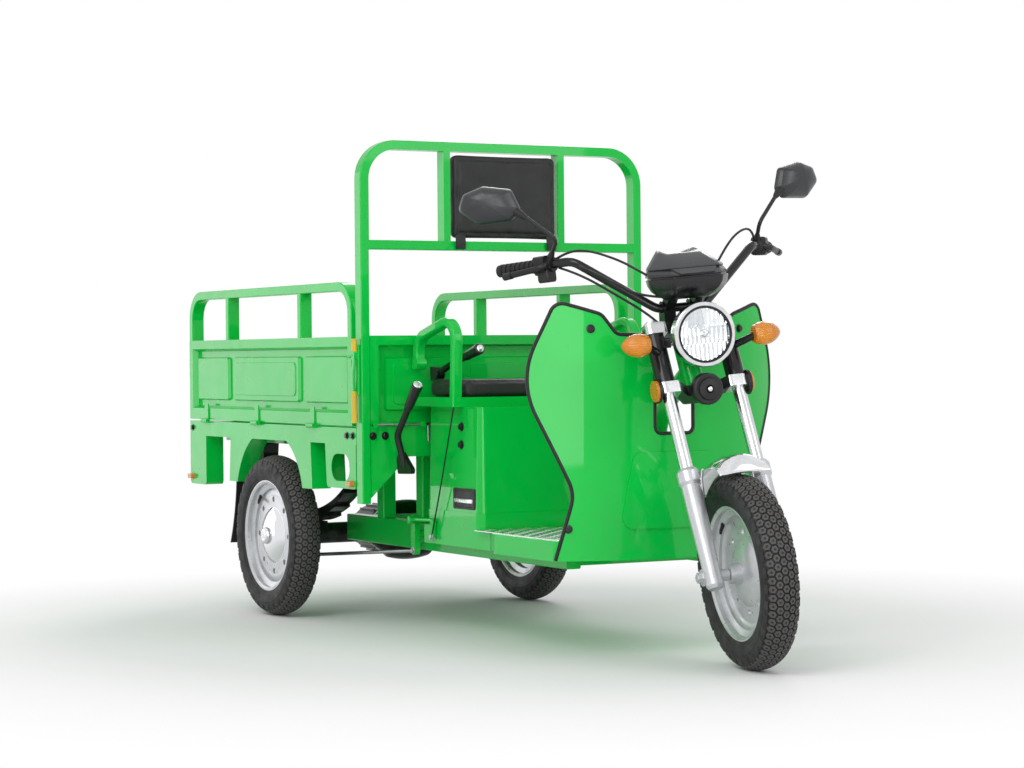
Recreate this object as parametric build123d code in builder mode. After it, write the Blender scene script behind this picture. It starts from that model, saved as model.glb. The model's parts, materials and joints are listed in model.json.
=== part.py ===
"""Electric cargo tricycle: open drop-side bed on two driven rear wheels, one steered front wheel.

Frame: +X forward, +Y to the rider's left, +Z up, origin on the ground below the middle of the box.
All lengths are in millimetres. The steering group is drawn straight ahead and written turned.
"""

import os
from math import asin, cos, radians, sin, sqrt

from build123d import *

os.makedirs("parts", exist_ok=True)

# Clearances
RUN_GAP = 0.4        # rotating parts round an axle or stem
GATE_GAP = 5.0       # under and beside the swinging bed gates
DRUM_GAP = 1.5       # brake drum to its fixed plate
HINGE_GAP = 0.3      # knuckle round its pin, and knuckle beside its lug
SEAT_GAP = 0.3       # back pad beside its posts
TUBE_GAP = 5.0       # floor sheet round the down tube

# Wheels
TYRE_R = 229.0
TYRE_HALF_W = 43.0
TREAD_T = 12.0
WALL_T = 9.0
FLANGE_R = 163.0
BEAD_R = 153.0
BEAD_T = 10.0
RIM_HALF_W = 35.0
RIM_LIP = 6.0
RIM_T = 4.0
WELL_R = 138.0
WELL_HALF_W = 12.0
DISC_T = 6.0
WHEELBASE = 1802.0
REAR_OVERHANG = 622.0
RX = -(WHEELBASE + TYRE_R - REAR_OVERHANG) / 2
FX = RX + WHEELBASE
AXLE_Z = TYRE_R
SHAFT_R = 14.0
SHAFT_L = 120.0
DRUM_R = 80.0
DRUM_W = 46.0
FRONT_AXLE_R = 8.5
FRONT_DRUM_R = 64.0

# Steering
RAKE = 24.0
YOKE_OFFSET = 35.0
STEER_TURN = -12.4
LEG_LEAD = 12.0
LEG_V = 90.0
SLIDER_R = 23.0
TUBE_R = 16.0
SLIDER_TOP = 262.0
LOWER_YOKE_W = 452.0
HEAD_LENGTH = 154.0
UPPER_YOKE_W = LOWER_YOKE_W + HEAD_LENGTH
YOKE_T = 28.0
STEM_R = 14.0
HEAD_R = 27.0
DOWN_R = 23.0
BAR_R = 11.0
GRIP_R = 16.0
GRIP_L = 122.0
LAMP_R = 78.0
LUG_Y = 68.0
SIGNAL_Y = 134.0

# Cargo bed
BAR_W = 25.0
BAR_D = 38.0
BED_HALF_W = 436.0
HALF_TRACK = BED_HALF_W - 25.0
SPRING_Y = BED_HALF_W - 136.0
BED_REAR = RX - 608.0
BED_FRONT = RX + 588.0
DECK_BOTTOM = 503.0
DECK_TOP = 548.0
GATE_BOTTOM = DECK_TOP + GATE_GAP
RAIL_TOP = 792.0
HOOP_H = 148.0
HOOP_TOP = RAIL_TOP + HOOP_H
HOOP_R = 85.0
GATE_FRONT = RX + 562.0
SHEET = 3.0
SHEET_IN = 16.0      # depth of the gate sheet behind the outer face of its frame
FIELD_RISE = 8.0
PRESS_TAPER = 25.0
HEAD_TOP = 1315.0
HEAD_BAR_TOP = HEAD_TOP - 267.0
HEAD_CORNER_R = 105.0
POST_BOTTOM = 347.0
PAD_POST_Y = 177.0
PAD_POST_W = 20.0
HINGE_OUT = 8.0
HINGE_Z = DECK_TOP + 2.0
HINGE_PIN_R = 3.5
HINGE_KNUCKLE_R = 7.0
KNUCKLE_HALF = 13.0
LUG_HALF = 22.0
SIDE_HINGES = (-466.0, -80.0, 312.0)
TAIL_HINGES = (-270.0, 270.0)
SKIRT_D = 56.0

# Chassis
RAIL_Y = 200.0
RAIL_W = 40.0
RAIL_Z0 = 212.0
FLOOR_Z0 = 240.0
FLOOR_Z1 = 289.0
RAIL_Z1 = FLOOR_Z1 - SHEET
SPRING_HALF = 330.0
SPRING_RISE = 120.0
LEAF_T = 8.0
LEAF_HALF_W = 24.0

# Rider's place
SHIELD_X = RX + 1482.0
SHIELD_EDGE_X = RX + 1376.0
SHIELD_HALF_W = 351.0
SHIELD_SAG = SHIELD_X - SHIELD_EDGE_X
SHIELD_R = (SHIELD_HALF_W**2 + SHIELD_SAG**2) / (2 * SHIELD_SAG)
SHIELD_CX = SHIELD_X - SHIELD_R
SEAT_Z = 630.0
SEAT_X0 = RX + 640.0
SEAT_X1 = RX + 868.0
BOX_X0 = RX + 650.0
BOX_X1 = RX + 955.0
BOX_TOP = SEAT_Z - BAR_W
BOX_HALF_W = 260.0

SIDES = (("right", -1), ("left", 1))

RAKE_SIN = sin(radians(RAKE))
RAKE_COS = cos(radians(RAKE))
FORK = Plane(
    origin=(FX, 0, AXLE_Z),
    x_dir=(RAKE_COS, 0, RAKE_SIN),
    z_dir=(-RAKE_SIN, 0, RAKE_COS),
)
STEER_AXIS = Axis(
    (FX - YOKE_OFFSET * RAKE_COS, 0, AXLE_Z - YOKE_OFFSET * RAKE_SIN),
    (-RAKE_SIN, 0, RAKE_COS),
)


def side(y):
    """Upright plane along the vehicle at y, seen from the right: X to the right, Z up."""
    return Plane(origin=(0, y, 0), x_dir=(1, 0, 0), z_dir=(0, -1, 0))


def outboard(s, y):
    """Upright plane along the vehicle at s * y, normal outwards: local x is -s * X, local y is Z."""
    return Plane(origin=(0, s * y, 0), x_dir=(-s, 0, 0), z_dir=(0, s, 0))


def inboard(s, y):
    """Upright plane along the vehicle at s * y, normal inwards: local x is s * X, local y is Z."""
    return Plane(origin=(0, s * y, 0), x_dir=(s, 0, 0), z_dir=(0, -s, 0))


def front(x):
    """Upright plane across the vehicle at x, normal forward: local x is Y, local y is Z."""
    return Plane(origin=(x, 0, 0), x_dir=(0, 1, 0), z_dir=(1, 0, 0))


def back(x):
    """Upright plane across the vehicle at x, normal backward: local x is -Y, local y is Z."""
    return Plane(origin=(x, 0, 0), x_dir=(0, -1, 0), z_dir=(-1, 0, 0))


def hub_plane(x, y, out):
    """Half section of a wheel: local x runs outboard along the axle, local y is the radius."""
    return Plane(origin=(x, y, AXLE_Z), x_dir=(0, out, 0), z_dir=(out, 0, 0))


def write(piece, name, turn=0.0):
    """Label a finished piece and write it; the steering group is turned about its axis first."""
    shape = piece.part.rotate(STEER_AXIS, turn) if turn else piece.part
    shape.label = name
    export_step(shape, f"parts/{name}.step")


def fork_xz(u, w):
    """Vehicle x and z of a point given in the fork plane."""
    return FX + u * RAKE_COS - w * RAKE_SIN, AXLE_Z + u * RAKE_SIN + w * RAKE_COS


TOP_X, TOP_Z = fork_xz(-YOKE_OFFSET, UPPER_YOKE_W + YOKE_T)
LAMP_X, LAMP_Z = fork_xz(98.0, LOWER_YOKE_W + 113.0)
HORN_X, HORN_Z = fork_xz(52.7, LOWER_YOKE_W - 9.2)
SIGNAL_X, SIGNAL_Z = fork_xz(76.0, LOWER_YOKE_W + 109.6)

# Tyres and rims: tyre and rim names, wheel centre, outboard sense, steering turn
WHEELS = (
    ("rear_tyre_right", "rear_rim_right", RX, -HALF_TRACK, -1, 0.0),
    ("rear_tyre_left", "rear_rim_left", RX, HALF_TRACK, 1, 0.0),
    ("front_tyre", "front_rim", FX, 0.0, 1, STEER_TURN),
)
SEAT_HALF = RIM_HALF_W - RIM_LIP
BEAD_IN = SEAT_HALF - BEAD_T
WIDE_R = (FLANGE_R + TYRE_R) / 2 - 2
SHOULDER_U = TYRE_HALF_W - 7
SHOULDER_R = TYRE_R - 13
WELL_EDGE = WELL_HALF_W + 6
for tyre_name, rim_name, wx, wy, out, turn in WHEELS:
    plane = hub_plane(wx, wy, out)
    axle = Axis((wx, wy, AXLE_Z), (0, 1, 0))
    with BuildPart() as tyre:
        with BuildSketch(plane):
            with BuildLine():
                Line((-SEAT_HALF, BEAD_R), (-SEAT_HALF, FLANGE_R))
                ThreePointArc((-SEAT_HALF, FLANGE_R), (-TYRE_HALF_W, WIDE_R), (-SHOULDER_U, SHOULDER_R))
                ThreePointArc((-SHOULDER_U, SHOULDER_R), (0, TYRE_R), (SHOULDER_U, SHOULDER_R))
                ThreePointArc((SHOULDER_U, SHOULDER_R), (TYRE_HALF_W, WIDE_R), (SEAT_HALF, FLANGE_R))
                Polyline(
                    (SEAT_HALF, FLANGE_R), (SEAT_HALF, BEAD_R), (BEAD_IN, BEAD_R), (BEAD_IN, FLANGE_R + 2)
                )
                crown_u, crown_r = SHOULDER_U - BEAD_T, SHOULDER_R - WALL_T + 2
                ThreePointArc((BEAD_IN, FLANGE_R + 2), (TYRE_HALF_W - WALL_T, WIDE_R), (crown_u, crown_r))
                ThreePointArc((crown_u, crown_r), (0, TYRE_R - TREAD_T), (-crown_u, crown_r))
                ThreePointArc((-crown_u, crown_r), (WALL_T - TYRE_HALF_W, WIDE_R), (-BEAD_IN, FLANGE_R + 2))
                Polyline((-BEAD_IN, FLANGE_R + 2), (-BEAD_IN, BEAD_R), (-SEAT_HALF, BEAD_R))
            make_face()
        revolve(axis=axle)
    write(tyre, tyre_name, turn)

    with BuildPart() as rim:
        with BuildSketch(plane):
            with BuildLine():
                Polyline(
                    (RIM_HALF_W, FLANGE_R - 2), (RIM_HALF_W - 2, FLANGE_R), (SEAT_HALF, FLANGE_R),
                    (SEAT_HALF, BEAD_R), (WELL_EDGE, BEAD_R), (WELL_HALF_W, WELL_R), (-WELL_HALF_W, WELL_R),
                    (-WELL_EDGE, BEAD_R), (-SEAT_HALF, BEAD_R), (-SEAT_HALF, FLANGE_R),
                    (2 - RIM_HALF_W, FLANGE_R), (-RIM_HALF_W, FLANGE_R - 2), (-RIM_HALF_W, BEAD_R + 2),
                    (RIM_T - RIM_HALF_W, BEAD_R - RIM_T), (-WELL_EDGE - 2, BEAD_R - RIM_T),
                    (-WELL_HALF_W - 2, WELL_R - RIM_T), (WELL_HALF_W + 2, WELL_R - RIM_T),
                    (WELL_EDGE + 2, BEAD_R - RIM_T), (RIM_HALF_W - RIM_T, BEAD_R - RIM_T),
                    (RIM_HALF_W, BEAD_R + 2), close=True,
                )
            make_face()
        revolve(axis=axle)
        with BuildSketch(plane):
            with BuildLine():
                if turn:
                    drum = FRONT_DRUM_R
                    bore = FRONT_AXLE_R + RUN_GAP
                    Polyline((-DRUM_W, bore), (-DRUM_W, bore + 13), (-20, bore + 17))
                    ThreePointArc((-20, bore + 17), (-14, 58), (-2, 82))
                    Line((-2, 82), (-2, 112))
                    ThreePointArc((-2, 112), (-4, 128), (-9, WELL_R - 2))
                    Line((-9, WELL_R - 2), (-2, WELL_R - 2))
                    ThreePointArc((-2, WELL_R - 2), (2, 126), (4, 112))
                    Polyline(
                        (4, 112), (4, drum + 6), (DRUM_W, drum + 6), (DRUM_W, drum), (10, drum),
                        (10, bore + 15), (34, bore + 15), (34, bore), (-DRUM_W, bore),
                    )
                else:
                    drum = DRUM_R
                    Line((46, 0), (46, 12))
                    ThreePointArc((46, 12), (44, 20), (38, 24))
                    Line((38, 24), (33, 25))
                    ThreePointArc((33, 25), (28, 52), (13, drum))
                    Line((13, drum), (12, 112))
                    ThreePointArc((12, 112), (11, 126), (7, WELL_R - 2))
                    Line((7, WELL_R - 2), (1, WELL_R - 2))
                    ThreePointArc((1, WELL_R - 2), (5, 126), (6, 112))
                    Polyline(
                        (6, 112), (6, drum), (-DRUM_W, drum), (-DRUM_W, drum - 6), (0, drum - 6),
                        (0, SHAFT_R), (-SHAFT_L, SHAFT_R), (-SHAFT_L, 0), (46, 0),
                    )
            make_face()
        revolve(axis=axle)
        with BuildSketch(Plane(origin=(wx, wy, AXLE_Z), x_dir=(1, 0, 0), z_dir=(0, out, 0))):
            with PolarLocations((drum + WELL_R) / 2 - 6, 8):
                Circle(8)
        extrude(amount=20, both=True, mode=Mode.SUBTRACT)
    write(rim, rim_name, turn)

# Rear axle: banjo casting with its tubes, brake plates, spring seats and brake cam levers
PLATE_Y = HALF_TRACK - DRUM_W - DRUM_GAP
TUBE_END = PLATE_Y - 4
AXLE_TUBE_R = 30.0
CASE_R = 88.0
CASE_HALF = 60.0
NECK = 128.0
PAD_H = 38.0
CAM_LEVER = ((24.0, -18.0, 13.0), (64.0, -56.0, 9.0))
with BuildPart() as rear_axle:
    with BuildSketch(Plane(origin=(RX, 0, AXLE_Z), x_dir=(0, 1, 0), z_dir=(1, 0, 0))):
        with BuildLine():
            bore = SHAFT_R + RUN_GAP
            Polyline((-NECK, AXLE_TUBE_R), (-TUBE_END, AXLE_TUBE_R), (-TUBE_END, bore), (TUBE_END, bore))
            Polyline((TUBE_END, bore), (TUBE_END, AXLE_TUBE_R), (NECK, AXLE_TUBE_R))
            ThreePointArc((NECK, AXLE_TUBE_R), (94, 52), (CASE_HALF, CASE_R - 8))
            ThreePointArc((CASE_HALF, CASE_R - 8), (0, CASE_R), (-CASE_HALF, CASE_R - 8))
            ThreePointArc((-CASE_HALF, CASE_R - 8), (-94, 52), (-NECK, AXLE_TUBE_R))
        make_face()
    revolve(axis=Axis((RX, 0, AXLE_Z), (0, 1, 0)))
    for _, s in SIDES:
        with BuildSketch(inboard(s, PLATE_Y)):
            with Locations((s * RX, AXLE_Z)):
                Circle(DRUM_R + 4)
                Circle(SHAFT_R + RUN_GAP, mode=Mode.SUBTRACT)
        extrude(amount=8)
        with BuildSketch(side(s * SPRING_Y)) as pad:
            with Locations((RX, AXLE_Z + PAD_H / 2)):
                Trapezoid(110, PAD_H, 78)
            with Locations((RX, AXLE_Z)):
                Circle(AXLE_TUBE_R, mode=Mode.SUBTRACT)
        extrude(amount=LEAF_HALF_W + 1, both=True)
        with BuildSketch(inboard(s, PLATE_Y - 8)):
            for dx, dz, r in CAM_LEVER:
                with Locations((s * (RX + dx), AXLE_Z + dz)):
                    Circle(r)
            make_hull()
        extrude(amount=7)
write(rear_axle, "rear_axle")

# Drive motor: finned can behind the gear case, on the same level as its input shaft
MOTOR_L = 150.0
MOTOR_R = 68.0
MOTOR_END = RX - 252.0
with BuildPart() as drive_motor:
    with BuildSketch(Plane(origin=(MOTOR_END, 0, AXLE_Z - 5), x_dir=(1, 0, 0), z_dir=(0, -1, 0))):
        with BuildLine():
            Polyline((200, 0), (0, 0), (0, 40))
            ThreePointArc((0, 40), (5, 58), (22, MOTOR_R))
            Polyline(
                (22, MOTOR_R), (MOTOR_L - 16, MOTOR_R), (MOTOR_L, MOTOR_R - 14), (200, MOTOR_R - 18), (200, 0)
            )
        make_face()
    revolve(axis=Axis((MOTOR_END, 0, AXLE_Z - 5), (1, 0, 0)))
    with BuildSketch(front(MOTOR_END + 26)):
        with Locations((0, AXLE_Z - 5)):
            with PolarLocations(MOTOR_R + 1, 20):
                Rectangle(8, 4)
    extrude(amount=MOTOR_L - 52)
    add(rear_axle.part, mode=Mode.SUBTRACT)
write(drive_motor, "drive_motor")

# Leaf springs: stacked arcs from hanger to shackle on each side; leaf number and its share of the length
LEAVES = ((0, 1.0), (1, 0.8), (2, 0.6), (3, 0.42))
SEAT_TOP = AXLE_Z + PAD_H
MAIN_R = (SPRING_HALF**2 + SPRING_RISE**2) / (2 * SPRING_RISE)
MAIN_Z = SEAT_TOP + 4 * LEAF_T
EYE_R = 18.0
BED_BAR_Z0 = DECK_BOTTOM - 18.0
with BuildPart() as leaf_springs:
    for _, s in SIDES:
        for n, share in LEAVES:
            inner = MAIN_R - LEAF_T + n * LEAF_T
            outer = inner + LEAF_T
            zc = MAIN_Z - LEAF_T + MAIN_R
            half = asin(SPRING_HALF * share / MAIN_R)
            with BuildSketch(side(s * SPRING_Y)):
                with BuildLine():
                    a0 = (RX - inner * sin(half), zc - inner * cos(half))
                    a1 = (RX + inner * sin(half), zc - inner * cos(half))
                    b0 = (RX - outer * sin(half), zc - outer * cos(half))
                    b1 = (RX + outer * sin(half), zc - outer * cos(half))
                    ThreePointArc(a0, (RX, zc - inner), a1)
                    Line(a1, b1)
                    ThreePointArc(b1, (RX, zc - outer), b0)
                    Line(b0, a0)
                make_face()
            extrude(amount=LEAF_HALF_W, both=True)
        for e in (-1, 1):
            ex = RX + e * (SPRING_HALF - 6)
            ez = MAIN_Z + SPRING_RISE - 2
            with BuildSketch(side(s * SPRING_Y)):
                with Locations((ex, ez)):
                    Circle(EYE_R)
                with Locations((ex, BED_BAR_Z0 - 3)):
                    Rectangle(3 * EYE_R, 6)
                make_hull()
            extrude(amount=LEAF_HALF_W, both=True)
write(leaf_springs, "leaf_springs")

# Low ladder under the rider: two box-section rails and the cross members between them
RAIL_IN = RAIL_Y - RAIL_W / 2
RAIL_OUT = RAIL_Y + RAIL_W / 2
RAIL_H = RAIL_Z1 - RAIL_Z0
TUBE_FILLET = 4.0
with BuildPart() as floor_rails:
    with BuildSketch(front(RX + 62)):
        with Locations((-RAIL_Y, RAIL_Z0 + RAIL_H / 2), (RAIL_Y, RAIL_Z0 + RAIL_H / 2)):
            RectangleRounded(RAIL_W, RAIL_H, TUBE_FILLET)
    extrude(amount=1268)
write(floor_rails, "floor_rails")

CROSS = (175, 625, 1075, 1305)
CROSS_W = 50.0
CROSS_H = RAIL_H - 8
with BuildPart() as floor_crossmembers:
    with BuildSketch(side(0)):
        with Locations(*[(RX + x, RAIL_Z1 - CROSS_H / 2) for x in CROSS]):
            Rectangle(CROSS_W, CROSS_H)
    extrude(amount=RAIL_IN, both=True)
write(floor_crossmembers, "floor_crossmembers")

# Bed ladder: two long bars over the springs, bearers across, and posts down to the low rails
BED_BAR_Z1 = DECK_TOP - SHEET
BED_BAR_W = 44.0
BEARERS = (-540, -180, 282, 528)
BEARER_W = 42.0
BEARER_H = BED_BAR_Z1 - BED_BAR_Z0 - 10
BEARER_Z0 = BED_BAR_Z1 - BEARER_H
with BuildPart() as bed_rails:
    with BuildSketch(front(BED_REAR + 12)):
        for _, s in SIDES:
            with Locations((s * SPRING_Y, (BED_BAR_Z0 + BED_BAR_Z1) / 2)):
                Rectangle(BED_BAR_W, BED_BAR_Z1 - BED_BAR_Z0)
    extrude(amount=BED_FRONT - BED_REAR - 18)
write(bed_rails, "bed_rails")

with BuildPart() as bed_bearers:
    with BuildSketch(side(0)):
        with Locations(*[(RX + x, BED_BAR_Z1 - BEARER_H / 2) for x in BEARERS]):
            Rectangle(BEARER_W, BEARER_H)
    extrude(amount=SPRING_Y - BED_BAR_W / 2, both=True)
write(bed_bearers, "bed_bearers")

with BuildPart() as bed_posts:
    with BuildSketch(Plane.XY.offset(RAIL_Z1)):
        for x in BEARERS[2:]:
            with Locations((RX + x, -RAIL_Y), (RX + x, RAIL_Y)):
                RectangleRounded(BEARER_W, RAIL_W, TUBE_FILLET)
    extrude(amount=BEARER_Z0 - RAIL_Z1)
write(bed_posts, "bed_posts")

# Steering head with the down tube to the low ladder
head_x, head_z = fork_xz(-YOKE_OFFSET, LOWER_YOKE_W + 78)
FOOT_X = RX + 1305.0
with BuildPart() as steering_head:
    with BuildSketch(FORK.offset(LOWER_YOKE_W + YOKE_T + 2)):
        with Locations((-YOKE_OFFSET, 0)):
            Circle(HEAD_R)
    extrude(amount=UPPER_YOKE_W - LOWER_YOKE_W - YOKE_T - 4)
    with BuildLine():
        down = FilletPolyline(
            (head_x, 0, head_z), (head_x - 130, 0, head_z - 95), (FOOT_X, 0, RAIL_Z1), radius=90
        )
    with BuildSketch(Plane(origin=down @ 0, z_dir=down % 0)):
        Circle(DOWN_R)
    sweep(path=down)
    with BuildSketch(FORK.offset(LOWER_YOKE_W)):
        with Locations((-YOKE_OFFSET, 0)):
            Circle(STEM_R + RUN_GAP)
    extrude(amount=UPPER_YOKE_W + YOKE_T - LOWER_YOKE_W, mode=Mode.SUBTRACT)
    with BuildSketch(Plane.XY.offset(RAIL_Z1 - 4 * DOWN_R)):
        with Locations((FOOT_X, 0)):
            Rectangle(8 * DOWN_R, 6 * DOWN_R)
    extrude(amount=4 * DOWN_R, mode=Mode.SUBTRACT)
write(steering_head, "steering_head")

# Leg shield: sheet bent to one upright cylinder, cut to its outline, with a pressed apron
# Outline corners, from the foot up to the steering slot: half width, height, corner radius
SLOT_HALF_W = 55.0
SLOT_BOTTOM = 545.0
SLOT_TOP = 784.0
SHIELD_CORNERS = (
    (SHIELD_HALF_W - 55, FLOOR_Z0, 4), (SHIELD_HALF_W - 98, 403, 90), (SHIELD_HALF_W + 20, 676, 225),
    (SHIELD_HALF_W - 59, 867, 26), (SHIELD_HALF_W - 163, 835, 30), (SHIELD_HALF_W - 199, 786, 22),
    (SLOT_HALF_W, SLOT_TOP, 8), (SLOT_HALF_W, SLOT_BOTTOM, 16),
)
APRON = ((150.0, 315.0, 30.0), (112.0, 500.0, 22.0))
APRON_RISE = 5.0
with BuildPart() as apron:
    with BuildSketch(front(SHIELD_CX)) as apron_face:
        with BuildLine():
            (low_y, low_z, _), (high_y, high_z, _) = APRON
            Polyline((-low_y, low_z), (-high_y, high_z), (high_y, high_z), (low_y, low_z), close=True)
        make_face()
        for y, z, r in APRON:
            for s in (-1, 1):
                fillet(apron_face.vertices().sort_by_distance((s * y, z, 0))[0], r)
    extrude(amount=SHIELD_R + SHIELD_SAG)
    with BuildSketch(Plane.XY.offset(FLOOR_Z0)):
        with Locations((SHIELD_CX, 0)):
            Circle(SHIELD_R + APRON_RISE)
            Circle(SHIELD_R - SHEET / 2, mode=Mode.SUBTRACT)
    extrude(amount=700, mode=Mode.INTERSECT)
with BuildPart() as leg_shield:
    with BuildSketch(front(SHIELD_CX)) as shield_face:
        with BuildLine():
            Polyline(
                *[(-y, z) for y, z, _ in SHIELD_CORNERS],
                *[(y, z) for y, z, _ in reversed(SHIELD_CORNERS)], close=True,
            )
        make_face()
        for y, z, r in SHIELD_CORNERS:
            for s in (-1, 1):
                fillet(shield_face.vertices().sort_by_distance((s * y, z, 0))[0], r)
    extrude(amount=SHIELD_R + SHIELD_SAG)
    with BuildSketch(Plane.XY.offset(200)):
        with Locations((SHIELD_CX, 0)):
            Circle(SHIELD_R)
            Circle(SHIELD_R - SHEET, mode=Mode.SUBTRACT)
    extrude(amount=700, mode=Mode.INTERSECT)
    add(apron.part)
write(leg_shield, "leg_shield")

# Floor pan: a shallow tray, open below and behind, with the tread plate on top
PAN_NARROW = BOX_HALF_W + 2
PAN_WIDE = SHIELD_HALF_W - 51
PAN_FRONT = SHIELD_X - 12
PAN_BACK = BOX_X0 - 10
FLARE_X0 = BOX_X1 + 60
FLARE_X1 = FLARE_X0 + 90
with BuildPart() as floor_pan:
    with BuildSketch(Plane.XY.offset(FLOOR_Z0)) as pan_face:
        with BuildLine():
            Polyline(
                (PAN_BACK, PAN_NARROW), (FLARE_X0, PAN_NARROW), (FLARE_X1, PAN_WIDE),
                (PAN_FRONT, PAN_WIDE), (PAN_FRONT, -PAN_WIDE),
                (FLARE_X1, -PAN_WIDE), (FLARE_X0, -PAN_NARROW), (PAN_BACK, -PAN_NARROW), close=True,
            )
        make_face()
        fillet(pan_face.vertices().filter_by_position(Axis.X, FLARE_X0 - 1, FLARE_X1 + 1), 60)
        with Locations((SHIELD_CX, 0)):
            Circle(SHIELD_R - SHEET, mode=Mode.INTERSECT)
    extrude(amount=FLOOR_Z1 - FLOOR_Z0)
    with BuildSketch(Plane.XY.offset(FLOOR_Z0)):
        add(pan_face.sketch_local)
        offset(amount=-SHEET, kind=Kind.INTERSECTION)
        with Locations((PAN_BACK, 0)):
            Rectangle(4 * SHEET, 2 * (PAN_NARROW - SHEET))
    extrude(amount=RAIL_Z1 - FLOOR_Z0, mode=Mode.SUBTRACT)
    with BuildSketch(Plane.XY.offset(RAIL_Z1)):
        with Locations((FOOT_X, 0)):
            Circle(DOWN_R + TUBE_GAP)
    extrude(amount=SHEET, mode=Mode.SUBTRACT)
write(floor_pan, "floor_pan")

with BuildPart() as floor_plate:
    with BuildSketch(Plane.XY.offset(FLOOR_Z1)):
        with Locations(((BOX_X1 + 14 + RX + 1440) / 2, 0)):
            Rectangle(RX + 1440 - BOX_X1 - 14, 2 * PAN_WIDE - 32)
        with Locations((SHIELD_CX, 0)):
            Circle(SHIELD_R - 16, mode=Mode.INTERSECT)
        with Locations((FOOT_X, 0)):
            Circle(DOWN_R + TUBE_GAP, mode=Mode.SUBTRACT)
    extrude(amount=2)
write(floor_plate, "floor_plate")

# Seat box: folded sheet, open below, with an access hole under the cushion, a plinth and corner ribs
PLINTH_H = 42.0
with BuildPart() as seat_box:
    with BuildSketch(Plane.XY.offset(FLOOR_Z1)):
        with Locations(((BOX_X0 + BOX_X1) / 2, 0)):
            RectangleRounded(BOX_X1 - BOX_X0, 2 * BOX_HALF_W, 22)
    extrude(amount=BOX_TOP - FLOOR_Z1, taper=1.2)
    with BuildSketch(Plane.XY.offset(FLOOR_Z1)):
        with Locations(((BOX_X0 + BOX_X1) / 2, 0)):
            RectangleRounded(BOX_X1 - BOX_X0 - 2 * SHEET, 2 * (BOX_HALF_W - SHEET), 22 - SHEET)
    extrude(amount=BOX_TOP - FLOOR_Z1 - SHEET, taper=1.2, mode=Mode.SUBTRACT)
    with BuildSketch(Plane.XY.offset(BOX_TOP - 2 * SHEET)):
        with Locations(((BOX_X0 + SEAT_X1) / 2, 0)):
            RectangleRounded(SEAT_X1 - BOX_X0 - 76, 2 * BOX_HALF_W - 110, 20)
    extrude(amount=3 * SHEET, mode=Mode.SUBTRACT)
    with BuildSketch(Plane.XY.offset(FLOOR_Z1)):
        with Locations(((BOX_X0 + BOX_X1) / 2, 0)):
            RectangleRounded(BOX_X1 - BOX_X0 + 4, 2 * BOX_HALF_W + 3, 24)
            RectangleRounded(BOX_X1 - BOX_X0 - 2, 2 * BOX_HALF_W - 2, 21, mode=Mode.SUBTRACT)
    extrude(amount=PLINTH_H)
    for _, s in SIDES:
        with BuildSketch(outboard(s, BOX_HALF_W - 7)):
            with BuildLine():
                x0, x1 = -s * (BOX_X1 - 66), -s * (BOX_X1 - 30)
                Polyline((x0, BOX_TOP - 4), (x1, BOX_TOP - 4), (x1, BOX_TOP - 130), close=True)
            make_face()
        extrude(amount=8)
write(seat_box, "seat_box")

with BuildPart() as battery_pack:
    with BuildSketch(Plane.XY.offset(FLOOR_Z1)):
        with Locations(((BOX_X0 + BOX_X1) / 2, 0)):
            RectangleRounded(BOX_X1 - BOX_X0 - 40, 2 * BOX_HALF_W - 70, 6)
    extrude(amount=BOX_TOP - FLOOR_Z1 - 85)
write(battery_pack, "battery_pack")

# Seat frame: mitred tray bars with the two bent grab loops
FRAME_X0 = BED_FRONT + BAR_D
FRAME_X1 = SEAT_X1 - 6
FRAME_HALF_W = BOX_HALF_W + 27
ARM_Y = FRAME_HALF_W - 15
ARM_W = 28.0
ARM_T = 24.0
with BuildPart() as seat_frame:
    with BuildSketch(Plane.XY.offset(BOX_TOP)):
        with Locations(((FRAME_X0 + FRAME_X1) / 2, 0)):
            RectangleRounded(FRAME_X1 - FRAME_X0, 2 * FRAME_HALF_W, 4)
            Rectangle(FRAME_X1 - FRAME_X0 - 60, 2 * FRAME_HALF_W - 94, mode=Mode.SUBTRACT)
    extrude(amount=BAR_W)
    for _, s in SIDES:
        with BuildLine():
            loop = FilletPolyline(
                (FRAME_X1 - 14, s * ARM_Y, SEAT_Z - 6), (FRAME_X1 - 2, s * ARM_Y, SEAT_Z + 213),
                (FRAME_X0 + 8, s * ARM_Y, SEAT_Z + 155), (FRAME_X0 + 13, s * ARM_Y, SEAT_Z + 75), radius=52,
            )
        with BuildSketch(Plane(origin=loop @ 0, x_dir=(0, 1, 0), z_dir=loop % 0)):
            RectangleRounded(ARM_W, ARM_T, 6)
        sweep(path=loop)
        with BuildSketch(side(s * ARM_Y)):
            with Locations((FRAME_X0 + 15, SEAT_Z + 88)):
                Circle(15)
            with Locations((FRAME_X0 + 5, SEAT_Z + 88)):
                Rectangle(10, 30)
            make_hull()
        extrude(amount=ARM_W / 2, both=True)
write(seat_frame, "seat_frame")

with BuildPart() as seat_cushion:
    with BuildSketch(Plane.XY.offset(SEAT_Z)):
        with Locations(((SEAT_X0 + SEAT_X1) / 2, 0)):
            RectangleRounded(SEAT_X1 - SEAT_X0, 2 * BOX_HALF_W - 10, 20)
    extrude(amount=44)
    fillet(seat_cushion.edges().group_by(Axis.Z)[-1], 14)
write(seat_cushion, "seat_cushion")

def hinge_plane(x, y, along_x):
    """Plane across a hinge pin at x, y; local x points away from the bed's edge, local y up."""
    if along_x:
        out = 1 if y > 0 else -1
        return Plane(origin=(x, y + out * HINGE_OUT, HINGE_Z), x_dir=(0, out, 0), z_dir=(out, 0, 0))
    return Plane(origin=(x - HINGE_OUT, y, HINGE_Z), x_dir=(-1, 0, 0), z_dir=(0, 1, 0))


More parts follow.
